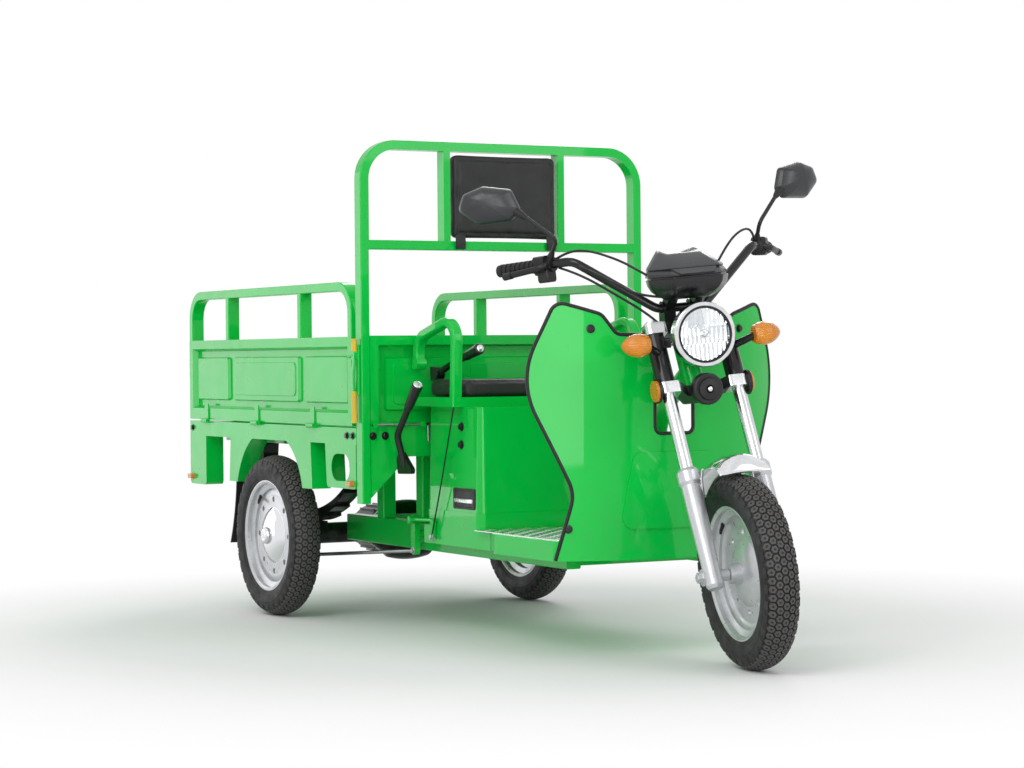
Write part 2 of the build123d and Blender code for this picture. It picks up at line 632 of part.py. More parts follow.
HINGES = [(RX + x, s * BED_HALF_W, True) for _, s in SIDES for x in SIDE_HINGES]
HINGES += [(BED_REAR, y, False) for y in TAIL_HINGES]

# Bed deck: folded tray, open below, with pressed ribs along it and the hinge pins on its edges
BED_MID = (BED_REAR + BED_FRONT) / 2
BED_L = BED_FRONT - BED_REAR
RIB_PITCH = 120.0
with BuildPart() as bed_deck:
    with BuildSketch(Plane.XY.offset(DECK_BOTTOM)):
        with Locations((BED_MID, 0)):
            Rectangle(BED_L, 2 * BED_HALF_W)
    extrude(amount=DECK_TOP - DECK_BOTTOM)
    with BuildSketch(Plane.XY.offset(DECK_BOTTOM)):
        with Locations((BED_MID, 0)):
            Rectangle(BED_L - 2 * SHEET, 2 * (BED_HALF_W - SHEET))
    extrude(amount=DECK_TOP - DECK_BOTTOM - SHEET, mode=Mode.SUBTRACT)
    with BuildSketch(Plane.XY.offset(DECK_TOP)):
        with Locations((BED_MID + 15, 0)):
            with GridLocations(0, RIB_PITCH, 1, 6):
                RectangleRounded(BED_L - 90, 32, 8)
    extrude(amount=4, taper=PRESS_TAPER)
    for hx, hy, along_x in HINGES:
        with BuildSketch(hinge_plane(hx, hy, along_x)):
            Circle(HINGE_KNUCKLE_R)
            with Locations((-HINGE_OUT / 2, -HINGE_KNUCKLE_R / 2)):
                Rectangle(HINGE_OUT, HINGE_KNUCKLE_R)
        extrude(amount=LUG_HALF, both=True)
        with BuildSketch(hinge_plane(hx, hy, along_x)):
            Circle(HINGE_OUT - 0.01)
            Circle(HINGE_PIN_R, mode=Mode.SUBTRACT)
        extrude(amount=KNUCKLE_HALF + HINGE_GAP, both=True, mode=Mode.SUBTRACT)
write(bed_deck, "bed_deck")

# Headboard: tall hoop on two legs, a cross bar and two pad posts
with BuildPart() as headboard:
    with BuildSketch(front(BED_FRONT)):
        with BuildLine():
            FilletPolyline(
                (-BED_HALF_W, POST_BOTTOM), (-BED_HALF_W, HEAD_TOP), (BED_HALF_W, HEAD_TOP),
                (BED_HALF_W, POST_BOTTOM), radius=HEAD_CORNER_R,
            )
            Line((BED_HALF_W, POST_BOTTOM), (-BED_HALF_W, POST_BOTTOM))
        make_face()
        with BuildLine(mode=Mode.PRIVATE) as inner_line:
            w = BED_HALF_W - BAR_W
            FilletPolyline(
                (-w, POST_BOTTOM), (-w, HEAD_TOP - BAR_W), (w, HEAD_TOP - BAR_W), (w, POST_BOTTOM),
                radius=HEAD_CORNER_R - BAR_W,
            )
            Line((w, POST_BOTTOM), (-w, POST_BOTTOM))
        make_face(inner_line.edges(), mode=Mode.SUBTRACT)
        with Locations((0, HEAD_BAR_TOP - BAR_W / 2)):
            Rectangle(2 * BED_HALF_W - BAR_W, BAR_W)
        for _, s in SIDES:
            with Locations((s * PAD_POST_Y, (HEAD_BAR_TOP + HEAD_TOP) / 2 - 5)):
                Rectangle(PAD_POST_W, HEAD_TOP - HEAD_BAR_TOP - 10)
    extrude(amount=BAR_D)
    outer_edges = headboard.faces().sort_by(Axis.X)[-1].outer_wire().edges()
    fillet(outer_edges + headboard.faces().sort_by(Axis.X)[0].outer_wire().edges(), 3)
write(headboard, "headboard")

PAD_HALF_W = PAD_POST_Y - PAD_POST_W / 2 - SEAT_GAP
with BuildPart() as back_pad:
    with BuildSketch(front(BED_FRONT + 4)):
        with Locations((0, (HEAD_BAR_TOP + HEAD_TOP - BAR_W) / 2)):
            RectangleRounded(2 * PAD_HALF_W, HEAD_TOP - BAR_W - HEAD_BAR_TOP - 2 * SEAT_GAP, 10)
    extrude(amount=BAR_D + 4)
    fillet(back_pad.edges().group_by(Axis.X)[-1], 9)
write(back_pad, "back_pad")

# Front wall of the bed: top rail and sill with a pressed sheet between the headboard legs
WALL_HALF_W = BED_HALF_W - BAR_W
WALL_TOP = RAIL_TOP + 2
WALL_SILL = DECK_TOP + 12
WALL_MID = (WALL_SILL + WALL_TOP - BAR_W) / 2
WALL_H = WALL_TOP - BAR_W - WALL_SILL
WALL_SHEET_X = BED_FRONT + 14
with BuildPart() as front_wall:
    with BuildSketch(front(BED_FRONT)):
        with Locations((0, (DECK_BOTTOM + WALL_TOP) / 2)):
            Rectangle(2 * WALL_HALF_W, WALL_TOP - DECK_BOTTOM)
    extrude(amount=BAR_D)
    with BuildSketch(back(BED_FRONT + BAR_D)):
        with Locations((0, WALL_MID)):
            Rectangle(2 * WALL_HALF_W - 2 * BAR_W, WALL_H)
    extrude(amount=BED_FRONT + BAR_D - WALL_SHEET_X, taper=12, mode=Mode.SUBTRACT)
    with BuildSketch(front(BED_FRONT)):
        with Locations((0, WALL_MID)):
            Rectangle(2 * WALL_HALF_W - 2 * BAR_W, WALL_H)
    extrude(amount=WALL_SHEET_X - BED_FRONT - 4, taper=12, mode=Mode.SUBTRACT)
    with BuildSketch(front(WALL_SHEET_X)):
        with Locations((0, WALL_MID)):
            RectangleRounded(2 * WALL_HALF_W - 4 * BAR_W, WALL_H - 64, 10)
    extrude(amount=10, taper=PRESS_TAPER)
    with BuildSketch(front(WALL_SHEET_X + 10)):
        with Locations((0, WALL_MID)):
            with GridLocations(2 * WALL_HALF_W / 3 - 40, 0, 3, 1):
                RectangleRounded(2 * WALL_HALF_W / 3 - 66, WALL_H - 100, 10)
    extrude(amount=3, taper=PRESS_TAPER)
write(front_wall, "front_wall")

# Skirts below the deck: folded brackets round the wheel arch, panels and front gussets
# Arch brackets as start, a point on the arc and end of the wheel-side edge, with the foot behind it
ARCHES = (
    ((-123, 503), (-196, 446), (-236, 374), (-296, 374), (-286, 503)),
    ((123, 503), (196, 446), (232, 374), (300, 374), (290, 503)),
)
PANELS = (
    ((-608, 503), (-608, 355), (-480, 355), (-480, 503)),
    ((387, 503), (398, 384), (584, 384), (584, 503)),
)
GUSSET = ((25, 0), (25, -141), (136, -33), (211, -33), (211, 0))
HOLE_X = RX + 486.0
with BuildPart() as bed_skirts:
    for _, s in SIDES:
        for a, b, c, d, e in ARCHES:
            with BuildSketch(side(s * BED_HALF_W)) as arch_face:
                with BuildLine():
                    ThreePointArc((RX + a[0], a[1]), (RX + b[0], b[1]), (RX + c[0], c[1]))
                    Polyline(*[(RX + x, z) for x, z in (c, d, e, a)])
                make_face()
            extrude(amount=s * SKIRT_D)
            with BuildSketch(side(s * (BED_HALF_W - SHEET))):
                add(arch_face.sketch_local)
                offset(amount=-SHEET, kind=Kind.INTERSECTION)
            extrude(amount=s * SKIRT_D, mode=Mode.SUBTRACT)
        for outline in PANELS:
            with BuildSketch(side(s * BED_HALF_W)) as panel_face:
                with BuildLine():
                    Polyline(*[(RX + x, z) for x, z in outline], close=True)
                make_face()
                fillet(panel_face.vertices().group_by(Axis.Y)[0], 14)
            extrude(amount=s * SKIRT_D)
            with BuildSketch(side(s * (BED_HALF_W - SHEET))):
                add(panel_face.sketch_local)
                offset(amount=-SHEET, kind=Kind.INTERSECTION)
            extrude(amount=s * SKIRT_D, mode=Mode.SUBTRACT)
        with BuildSketch(side(s * BED_HALF_W)):
            with Locations((HOLE_X, (DECK_BOTTOM + 377) / 2)):
                SlotOverall(118, 73)
        extrude(amount=s * 10, mode=Mode.SUBTRACT)
        with BuildSketch(front(BED_FRONT + BAR_D - SHEET)):
            with BuildLine():
                Polyline(*[(s * (BED_HALF_W - y), DECK_BOTTOM + z) for y, z in GUSSET], close=True)
            make_face()
        extrude(amount=SHEET)
write(bed_skirts, "bed_skirts")

with BuildPart() as mud_flaps:
    for _, s in SIDES:
        with BuildSketch(side(s * (BED_HALF_W - 4))):
            with BuildLine():
                ThreePointArc((RX - 250, 374), (RX - 264, 290), (RX - 300, 190))
                Line((RX - 300, 190), (RX - 305, 190))
                ThreePointArc((RX - 305, 190), (RX - 269, 290), (RX - 255, 374))
                Line((RX - 255, 374), (RX - 250, 374))
            make_face()
        extrude(amount=s * 102)
write(mud_flaps, "mud_flaps")

# Lamps under the deck
LAMP_BOX = (46.0, 98.0, 10.0)
with BuildPart() as tail_lamps:
    with BuildSketch(back(BED_REAR)):
        for _, s in SIDES:
            with Locations((s * (BED_HALF_W - 29), DECK_BOTTOM - 82)):
                RectangleRounded(*LAMP_BOX)
    extrude(amount=REAR_OVERHANG + BED_REAR - RX)
    fillet(tail_lamps.edges().group_by(Axis.X)[0], 4)
write(tail_lamps, "tail_lamps")

MARKERS = ((-590, 378), (556, 398))
with BuildPart() as side_markers:
    for _, s in SIDES:
        with BuildSketch(outboard(s, BED_HALF_W)):
            with Locations(*[(-s * (RX + x), z) for x, z in MARKERS]):
                RectangleRounded(32, 18, 5)
        extrude(amount=12, taper=12)
write(side_markers, "side_markers")

# Swinging gates: a bar frame round a pressed sheet; the long sides carry a bent hoop with posts
FIELDS = ((-560, -318), (-282, 196), (232, 520))
POSTS = (-308, 216)
FIELD_Z = (GATE_BOTTOM + RAIL_TOP) / 2 + 4
GATE_L = GATE_FRONT - BED_REAR
GATE_MID = (BED_REAR + GATE_FRONT) / 2
WINDOW_H = RAIL_TOP - GATE_BOTTOM - 60
for name, s in SIDES:
    hoop_y = s * (BED_HALF_W - BAR_D / 2)
    with BuildPart() as gate_hoop:
        with BuildLine():
            x0, x1, z1 = BED_REAR + BAR_W / 2, GATE_FRONT - BAR_W / 2, HOOP_TOP - BAR_W / 2
            bend = FilletPolyline(
                (x0, hoop_y, RAIL_TOP), (x0, hoop_y, z1), (x1, hoop_y, z1), (x1, hoop_y, RAIL_TOP),
                radius=min(HOOP_R, 0.8 * HOOP_H) - BAR_W / 2,
            )
        with BuildSketch(Plane.XY.offset(RAIL_TOP)):
            with Locations((x0, hoop_y)):
                RectangleRounded(BAR_W, BAR_D, 3)
        sweep(path=bend)
        with BuildSketch(Plane.XY.offset(RAIL_TOP)):
            with Locations(*[(RX + x, hoop_y) for x in POSTS]):
                RectangleRounded(BAR_W - 2, BAR_D - 2, 3)
        extrude(amount=HOOP_H - BAR_W / 2)
    write(gate_hoop, f"gate_hoop_{name}")
    with BuildPart() as side_gate:
        with BuildSketch(inboard(s, BED_HALF_W)):
            with Locations((s * GATE_MID, (GATE_BOTTOM + RAIL_TOP) / 2)):
                Rectangle(GATE_L, RAIL_TOP - GATE_BOTTOM)
        extrude(amount=BAR_D)
        with BuildSketch(inboard(s, BED_HALF_W)):
            with Locations((s * GATE_MID, FIELD_Z)):
                Rectangle(GATE_L - 2 * BAR_W, WINDOW_H)
        extrude(amount=SHEET_IN, taper=PRESS_TAPER, mode=Mode.SUBTRACT)
        with BuildSketch(outboard(s, BED_HALF_W - BAR_D)):
            with Locations((-s * GATE_MID, FIELD_Z)):
                Rectangle(GATE_L - 2 * BAR_W, WINDOW_H)
        extrude(amount=BAR_D - SHEET_IN - 4, mode=Mode.SUBTRACT)
        with BuildSketch(outboard(s, BED_HALF_W - SHEET_IN)):
            for x0, x1 in FIELDS:
                with Locations((-s * (RX + (x0 + x1) / 2), FIELD_Z)):
                    RectangleRounded(x1 - x0, WINDOW_H - 50, 8)
        extrude(amount=FIELD_RISE, taper=PRESS_TAPER)
        with BuildSketch(outboard(s, BED_HALF_W - SHEET_IN + FIELD_RISE)):
            with Locations((-s * (RX + sum(FIELDS[1]) / 2), FIELD_Z)):
                RectangleRounded(FIELDS[1][1] - FIELDS[1][0] - 40, WINDOW_H - 84, 14)
        extrude(amount=2.5, taper=PRESS_TAPER)
        for hx, hy, along_x in HINGES:
            if along_x and hy * s > 0:
                with BuildSketch(hinge_plane(hx, hy, along_x)):
                    Circle(HINGE_KNUCKLE_R)
                    with Locations((2 - HINGE_OUT, 26)):
                        Rectangle(4, 50)
                    Circle(HINGE_PIN_R + HINGE_GAP, mode=Mode.SUBTRACT)
                extrude(amount=KNUCKLE_HALF, both=True)
    write(side_gate, f"side_gate_{name}")

TAIL_HALF_W = BED_HALF_W - BAR_D - GATE_GAP
TAIL_FIELD = 2 * (TAIL_HALF_W - BAR_W) / 3 - 24
with BuildPart() as tail_gate:
    with BuildSketch(front(BED_REAR)):
        with Locations((0, (GATE_BOTTOM + RAIL_TOP) / 2)):
            Rectangle(2 * TAIL_HALF_W, RAIL_TOP - GATE_BOTTOM)
    extrude(amount=BAR_D)
    with BuildSketch(front(BED_REAR)):
        with Locations((0, FIELD_Z)):
            Rectangle(2 * (TAIL_HALF_W - BAR_W), WINDOW_H)
    extrude(amount=SHEET_IN, taper=PRESS_TAPER, mode=Mode.SUBTRACT)
    with BuildSketch(back(BED_REAR + BAR_D)):
        with Locations((0, FIELD_Z)):
            Rectangle(2 * (TAIL_HALF_W - BAR_W), WINDOW_H)
    extrude(amount=BAR_D - SHEET_IN - 4, mode=Mode.SUBTRACT)
    with BuildSketch(back(BED_REAR + SHEET_IN)):
        with Locations((0, FIELD_Z)):
            with GridLocations(TAIL_FIELD + 20, 0, 3, 1):
                RectangleRounded(TAIL_FIELD, WINDOW_H - 50, 8)
    extrude(amount=FIELD_RISE, taper=PRESS_TAPER)
    for hx, hy, along_x in HINGES:
        if not along_x:
            with BuildSketch(hinge_plane(hx, hy, along_x)):
                Circle(HINGE_KNUCKLE_R)
                with Locations((2 - HINGE_OUT, 26)):
                    Rectangle(4, 50)
                Circle(HINGE_PIN_R + HINGE_GAP, mode=Mode.SUBTRACT)
            extrude(amount=KNUCKLE_HALF, both=True)
write(tail_gate, "tail_gate")

# Hand levers: brake on the right of the seat, gear change beside the cushion
# Foot, bend and knob as x from the rear axle, y, z; then the bend radius
LEVERS = (
    ((664, -330, 440), (660, -350, 528), (785, -350, 664), 34),
    ((640, -215, 692), (704, -215, 712), (880, -215, 757), 40),
)
LEVER_PLATE = (
    (BED_FRONT + BAR_D + 12, 462, 12), (RX + 652, 472, 12), (RX + 704, 436, 9), (RX + 640, 434, 9),
)
with BuildPart() as hand_levers:
    for foot, bend, knob, radius in LEVERS:
        with BuildLine():
            rod = FilletPolyline(
                (RX + foot[0], foot[1], foot[2]), (RX + bend[0], bend[1], bend[2]),
                (RX + knob[0], knob[1], knob[2]), radius=radius,
            )
        with BuildSketch(Plane(origin=rod @ 0, z_dir=rod % 0)):
            Circle(9)
        sweep(path=rod)
        with BuildSketch(Plane(origin=rod @ 1, x_dir=-(rod % 1), z_dir=(0, 1, 0))):
            with BuildLine():
                Line((0, 0), (0, 11))
                ThreePointArc((0, 11), (2, 14), (6, 15))
                Polyline((6, 15), (80, 12), (92, 9), (92, 0), (0, 0))
            make_face()
        revolve(axis=Axis(rod @ 1, rod % 1))
    with BuildSketch(side(-324)):
        for x, z, r in LEVER_PLATE:
            with Locations((x, z)):
                Circle(r)
        make_hull()
    extrude(amount=12)
    with BuildSketch(side(-203)):
        with Locations((RX + 640, 692)):
            Circle(16)
        with Locations((BED_FRONT + 32, 692)):
            Rectangle(12, 36)
        make_hull()
    extrude(amount=24)
    add(front_wall.part, mode=Mode.SUBTRACT)
    add(headboard.part, mode=Mode.SUBTRACT)
write(hand_levers, "hand_levers")

# Brake linkage: bell cranks on pivots outside the low rails, with the rods to the rear drums
CRANK_X = RX + 562.0
CRANK_IN = RAIL_OUT + 22
CRANK_T = 16.0
CRANK = ((0.0, 296.0, 13.0), (2.0, 212.0, 11.0))
ROD_END = (RX + 64.0, PLATE_Y - 15 - 7, AXLE_Z - 56)
with BuildPart() as brake_linkage:
    for _, s in SIDES:
        with BuildSketch(outboard(s, CRANK_IN)):
            for dx, z, r in CRANK:
                with Locations((-s * (CRANK_X + dx), z)):
                    Circle(r)
            make_hull()
        extrude(amount=CRANK_T)
        with BuildSketch(outboard(s, RAIL_OUT)):
            with Locations((-s * CRANK_X, RAIL_Z0 + 46)):
                Circle(10)
        extrude(amount=CRANK_IN - RAIL_OUT)
        with BuildLine():
            rod = Line(
                (CRANK_X, s * (CRANK_IN + CRANK_T / 2), CRANK[1][1]), (ROD_END[0], s * ROD_END[1], ROD_END[2])
            )
        with BuildSketch(Plane(origin=rod @ 0, z_dir=rod % 0)):
            Circle(5)
        sweep(path=rod)
        with BuildSketch(outboard(s, ROD_END[1] - 6)):
            with Locations((-s * ROD_END[0], ROD_END[2])):
                Circle(8)
        extrude(amount=PLATE_Y - 15 - ROD_END[1] + 6)
write(brake_linkage, "brake_linkage")

# Fork: stem, two forged yokes and the upper tubes
# Yoke outline, one half: forward of the axle line, half width, corner radius
YOKE = (
    (LEG_LEAD + 24, LEG_V + 24, 18), (LEG_LEAD - 20, LEG_V + 24, 14), (LEG_LEAD - 20, 62, 12),
    (-YOKE_OFFSET - 24, 30, 16),
)
YOKE_MOUTH = ((-6, 34, 14), (LEG_LEAD + 24, LEG_V - 26, 10))
with BuildPart() as fork_upper:
    for w0 in (LOWER_YOKE_W, UPPER_YOKE_W):
        with BuildSketch(FORK.offset(w0)) as yoke_face:
            with BuildLine():
                rows = YOKE_MOUTH + YOKE
                Polyline(
                    *[(u, v) for u, v, _ in rows], *[(u, -v) for u, v, _ in reversed(rows)], close=True
                )
            make_face()
            for u, v, r in rows:
                for s in (-1, 1):
                    fillet(yoke_face.vertices().sort_by_distance((u, s * v, 0))[0], r)
        extrude(amount=YOKE_T)
    with BuildSketch(FORK.offset(LOWER_YOKE_W)):
        with Locations((-YOKE_OFFSET, 0)):
            Circle(STEM_R)
    extrude(amount=UPPER_YOKE_W - LOWER_YOKE_W + YOKE_T)
    with BuildSketch(FORK.offset(SLIDER_TOP)):
        with Locations((LEG_LEAD, -LEG_V), (LEG_LEAD, LEG_V)):
            Circle(TUBE_R)
    extrude(amount=UPPER_YOKE_W + YOKE_T + 8 - SLIDER_TOP)
write(fork_upper, "fork_upper", STEER_TURN)

# Fork sliders: turned legs with collars, joined by the axle, its spacers and the front brake plate
LEG_AXIS = Axis(FORK.from_local_coords((LEG_LEAD, LEG_V, 0)), FORK.z_dir)
LEG_PLANE = Plane(origin=LEG_AXIS.position, x_dir=FORK.z_dir, z_dir=(0, 1, 0))
with BuildPart() as fork_sliders:
    with BuildSketch(LEG_PLANE):
        with BuildLine():
            Polyline(
                (-34, 0), (-34, SLIDER_R - 7), (-26, SLIDER_R - 2), (20, SLIDER_R - 2), (160, SLIDER_R),
                (SLIDER_TOP - 42, SLIDER_R), (SLIDER_TOP - 34, SLIDER_R + 4), (SLIDER_TOP - 8, SLIDER_R + 4),
                (SLIDER_TOP, SLIDER_R - 1), (SLIDER_TOP, 0), close=True,
            )
        make_face()
    revolve(axis=LEG_AXIS)
    with BuildSketch(side(LEG_V)):
        with Locations((FX, AXLE_Z)):
            Circle(20)
    extrude(amount=22, both=True)
    with BuildSketch(outboard(1, LEG_V + 22)):
        with Locations((-FX, AXLE_Z)):
            RegularPolygon(14, 6)
    extrude(amount=11)
    with BuildSketch(outboard(1, DRUM_W + 2)):
        with Locations((-FX, AXLE_Z)):
            Circle(14)
    extrude(amount=24)
    mirror(about=Plane.XZ)
    with BuildSketch(side(0)):
        with Locations((FX, AXLE_Z)):
            Circle(FRONT_AXLE_R)
    extrude(amount=LEG_V + 36, both=True)
    with BuildSketch(outboard(1, DRUM_W + 2)):
        with Locations((-FX, AXLE_Z)):
            Circle(FRONT_DRUM_R + 8)
    extrude(amount=8, taper=8)
write(fork_sliders, "fork_sliders", STEER_TURN)

# Black sleeves over the upper tubes with the turn signal stalks and lamp lugs
LUG_X0 = LAMP_X - 78.0
LUG_X1 = LAMP_X - 44.0
with BuildPart() as fork_ears:
    for _, s in SIDES:
        with BuildSketch(FORK.offset(LOWER_YOKE_W + YOKE_T)):
            with Locations((LEG_LEAD, s * LEG_V)):
                Circle(TUBE_R + 7)
        extrude(amount=UPPER_YOKE_W - LOWER_YOKE_W - YOKE_T)
        with BuildLine():
            stalk = Line(
                FORK.from_local_coords((LEG_LEAD + 8, s * LEG_V, LOWER_YOKE_W + 104)),
                FORK.from_local_coords((72, s * (SIGNAL_Y + 4), LOWER_YOKE_W + 108)),
            )
        with BuildSketch(Plane(origin=stalk @ 0, z_dir=stalk % 0)):
            Circle(9)
        sweep(path=stalk)
        with BuildSketch(outboard(s, SIGNAL_Y)):
            with Locations((-s * SIGNAL_X, SIGNAL_Z)):
                Circle(60)
        extrude(amount=30, mode=Mode.SUBTRACT)
        with BuildSketch(outboard(s, LUG_Y)):
            with Locations((-s * (LUG_X0 + LUG_X1) / 2, LAMP_Z - 14)):
                RectangleRounded(LUG_X1 - LUG_X0, 24, 6)
        extrude(amount=LEG_V - 4 - LUG_Y)
        with BuildSketch(FORK.offset(LOWER_YOKE_W)):
            with Locations((LEG_LEAD, s * LEG_V)):
                Circle(TUBE_R)
        extrude(amount=UPPER_YOKE_W + YOKE_T - LOWER_YOKE_W, mode=Mode.SUBTRACT)
write(fork_ears, "fork_ears", STEER_TURN)

# Turn signal lenses and the round side reflectors on the lower yoke
with BuildPart() as signal_lenses:
    for _, s in SIDES:
        lens_plane = Plane(origin=(SIGNAL_X, s * SIGNAL_Y, SIGNAL_Z), x_dir=(0, s, 0), z_dir=(s, 0, 0))
        with BuildSketch(lens_plane):
            with BuildLine():
                Line((0, 0), (0, 20))
                ThreePointArc((0, 20), (30, 28), (68, 5))
                Line((68, 5), (68, 0))
                Line((68, 0), (0, 0))
            make_face()
        revolve(axis=Axis((SIGNAL_X, 0, SIGNAL_Z), (0, 1, 0)))
        yoke_x, yoke_z = fork_xz(LEG_LEAD, LOWER_YOKE_W + YOKE_T / 2)
        with BuildSketch(outboard(s, LEG_V + 24)):
            with Locations((-s * yoke_x, yoke_z)):
                Circle(27)
        extrude(amount=10, taper=10)
write(signal_lenses, "signal_lenses", STEER_TURN)

# Headlamp: bowl with its chrome rim, and the domed lens
LAMP_PLANE = Plane(origin=(LAMP_X, 0, LAMP_Z), x_dir=(1, 0, 0), z_dir=(0, -1, 0))
LENS_R = LAMP_R - 10
with BuildPart() as headlamp_shell:
    with BuildSketch(LAMP_PLANE):
        with BuildLine():
            Polyline((-100, 0), (0, 0), (0, LENS_R), (10, LENS_R), (10, LAMP_R - 3))
            ThreePointArc((10, LAMP_R - 3), (8, LAMP_R - 1), (4, LAMP_R))
            Polyline((4, LAMP_R), (-14, LAMP_R), (-16, LAMP_R - 6))
            ThreePointArc((-16, LAMP_R - 6), (-72, 52), (-100, 0))
        make_face()
    revolve(axis=Axis((LAMP_X, 0, LAMP_Z), (1, 0, 0)))
    with BuildSketch(side(0)):
        with Locations((LAMP_X - 61, LAMP_Z - 14)):
            Circle(8)
    extrude(amount=LUG_Y, both=True)
write(headlamp_shell, "headlamp_shell", STEER_TURN)

LENS_SAG = 11.0
LENS_EDGE = 6.0
dome_r = (LENS_R**2 + LENS_SAG**2) / (2 * LENS_SAG)
dome_mid = LENS_EDGE + LENS_SAG - dome_r + sqrt(dome_r**2 - (LENS_R / 2) ** 2)
with BuildPart() as headlamp_lens:
    with BuildSketch(LAMP_PLANE):
        with BuildLine():
            Line((0, 0), (0, LENS_R))
            Line((0, LENS_R), (LENS_EDGE, LENS_R))
            ThreePointArc((LENS_EDGE, LENS_R), (dome_mid, LENS_R / 2), (LENS_EDGE + LENS_SAG, 0))
            Line((LENS_EDGE + LENS_SAG, 0), (0, 0))
        make_face()
    revolve(axis=Axis((LAMP_X, 0, LAMP_Z), (1, 0, 0)))
write(headlamp_lens, "headlamp_lens", STEER_TURN)

# Horn: stepped disc on a strap under the lower yoke
with BuildPart() as horn:
    with BuildSketch(Plane(origin=(HORN_X, 0, HORN_Z), x_dir=(1, 0, 0), z_dir=(0, -1, 0))):
        with BuildLine():
            Polyline((2, 0), (-40, 0), (-40, 22), (-32, 30), (-30, 38), (-12, 38))
            ThreePointArc((-12, 38), (-7, 36), (-6, 31))
            Polyline((-6, 31), (-6, 27), (0, 25), (2, 10), (-2, 8), (2, 6), (2, 0))
        make_face()
    revolve(axis=Axis((HORN_X, 0, HORN_Z), (1, 0, 0)))
    with BuildSketch(side(0)):
        with Locations((HORN_X - 56, HORN_Z)):
            Rectangle(40, 16)
    extrude(amount=12, both=True)
    with BuildSketch(FORK.offset(LOWER_YOKE_W - 30)):
        with Locations((-YOKE_OFFSET, 0)):
            Rectangle(2 * YOKE_OFFSET - 12, 90)
    extrude(amount=YOKE_T + 60, mode=Mode.SUBTRACT)
write(horn, "horn", STEER_TURN)

# Instrument pod: faceted shell lofted through level sections above the top of the upper yoke
# Level, back x, front x, half width, half width of the front edge
POD_LEVELS = (
    (78, 38, 98, 62, 40), (128, 4, 150, 103, 62), (156, 2, 112, 95, 66), (188, 12, 62, 58, 46),
)
with BuildPart() as instrument_pod:
    for z, x_back, x_front, half_w, nose in POD_LEVELS:
        x_mid = x_back + 0.55 * (x_front - x_back)
        with BuildSketch(Plane(origin=(TOP_X, 0, TOP_Z + z))):
            with BuildLine():
                Polyline(
                    (x_back, -0.8 * half_w), (x_mid, -half_w), (x_front, -nose),
                    (x_front, nose), (x_mid, half_w), (x_back, 0.8 * half_w), close=True,
                )
            make_face()
    loft(ruled=True)
    fillet(instrument_pod.edges(), 2.5)
write(instrument_pod, "instrument_pod", STEER_TURN)

# Handlebar on two risers, with the arms that carry the pod; points relative to the upper yoke's top
BAR_MID = (12.8, 60.0, 58.0)
BAR_BEND = (-72.2, 235.0, 191.0)
BAR_END = (-270.2, 360.0, 182.0)
BAR_POINTS = [(-1, BAR_END), (-1, BAR_BEND), (-1, BAR_MID), (1, BAR_MID), (1, BAR_BEND), (1, BAR_END)]
with BuildPart() as handlebar:
    with BuildLine():
        bar = FilletPolyline(*[(TOP_X + p[0], s * p[1], TOP_Z + p[2]) for s, p in BAR_POINTS], radius=42)
    with BuildSketch(Plane(origin=bar @ 0, z_dir=bar % 0)):
        Circle(BAR_R)
    sweep(path=bar)
    for _, s in SIDES:
        with BuildSketch(side(s * 35)):
            with Locations((TOP_X + BAR_MID[0], TOP_Z + BAR_MID[2])):
                Circle(BAR_R + 7)
            with Locations((TOP_X + 10, TOP_Z + 10)):
                Circle(20)
            make_hull()
        extrude(amount=15, both=True)
        with BuildSketch(side(s * 35)):
            with Locations((TOP_X + BAR_MID[0] + 8, TOP_Z + BAR_MID[2] + 4)):
                Circle(14)
            with Locations((TOP_X + 58, TOP_Z + 92)):
                Circle(12)
            make_hull()
        extrude(amount=12, both=True)
    with BuildSketch(FORK.offset(LOWER_YOKE_W)):
        with Locations((-20, 0)):
            Rectangle(160, 260)
    extrude(amount=UPPER_YOKE_W + YOKE_T - LOWER_YOKE_W, mode=Mode.SUBTRACT)
    add(instrument_pod.part, mode=Mode.SUBTRACT)
write(handlebar, "handlebar", STEER_TURN)

# Rubber grips: barrel with finger rings and an end flange
GRIP_RINGS = 7
with BuildPart() as grips:
    for at in (0, 1):
        inward = bar % at if at == 0 else -(bar % at)
        with BuildSketch(Plane(origin=bar @ at, z_dir=inward)):
            Circle(GRIP_R - 1)
            Circle(BAR_R, mode=Mode.SUBTRACT)
        extrude(amount=GRIP_L)
        for n in range(GRIP_RINGS):
            with BuildSketch(Plane(origin=bar @ at + inward * (8 + n * 15), z_dir=inward)):
                Circle(GRIP_R + 0.5)
                Circle(BAR_R, mode=Mode.SUBTRACT)
            extrude(amount=8)
        with BuildSketch(Plane(origin=bar @ at + inward * (GRIP_L - 8), z_dir=inward)):
            Circle(GRIP_R + 3)
            Circle(BAR_R, mode=Mode.SUBTRACT)
        extrude(amount=8)
write(grips, "grips", STEER_TURN)

# Mirror heads: faceted shells that taper away from the flat glass
MIRROR = ((-78, -18), (-52, -40), (30, -44), (78, -4), (62, 34), (12, 50), (-58, 36))
MIRROR_AT = (-167.0, 404.0, 342.0)
with BuildPart() as mirror_shells:
    for _, s in SIDES:
        plane = Plane(
            origin=(TOP_X + MIRROR_AT[0], s * MIRROR_AT[1], TOP_Z + MIRROR_AT[2]),
            x_dir=(-0.42, s * 0.907, 0),
            z_dir=(0.9, s * 0.42, 0),
        )
        with BuildSketch(plane) as mirror_face:
            with BuildLine():
                Polyline(*[(u, s * v) for u, v in MIRROR], close=True)
            make_face()
            fillet(mirror_face.vertices(), 8)
        extrude(amount=34, taper=28)
write(mirror_shells, "mirror_shells", STEER_TURN)

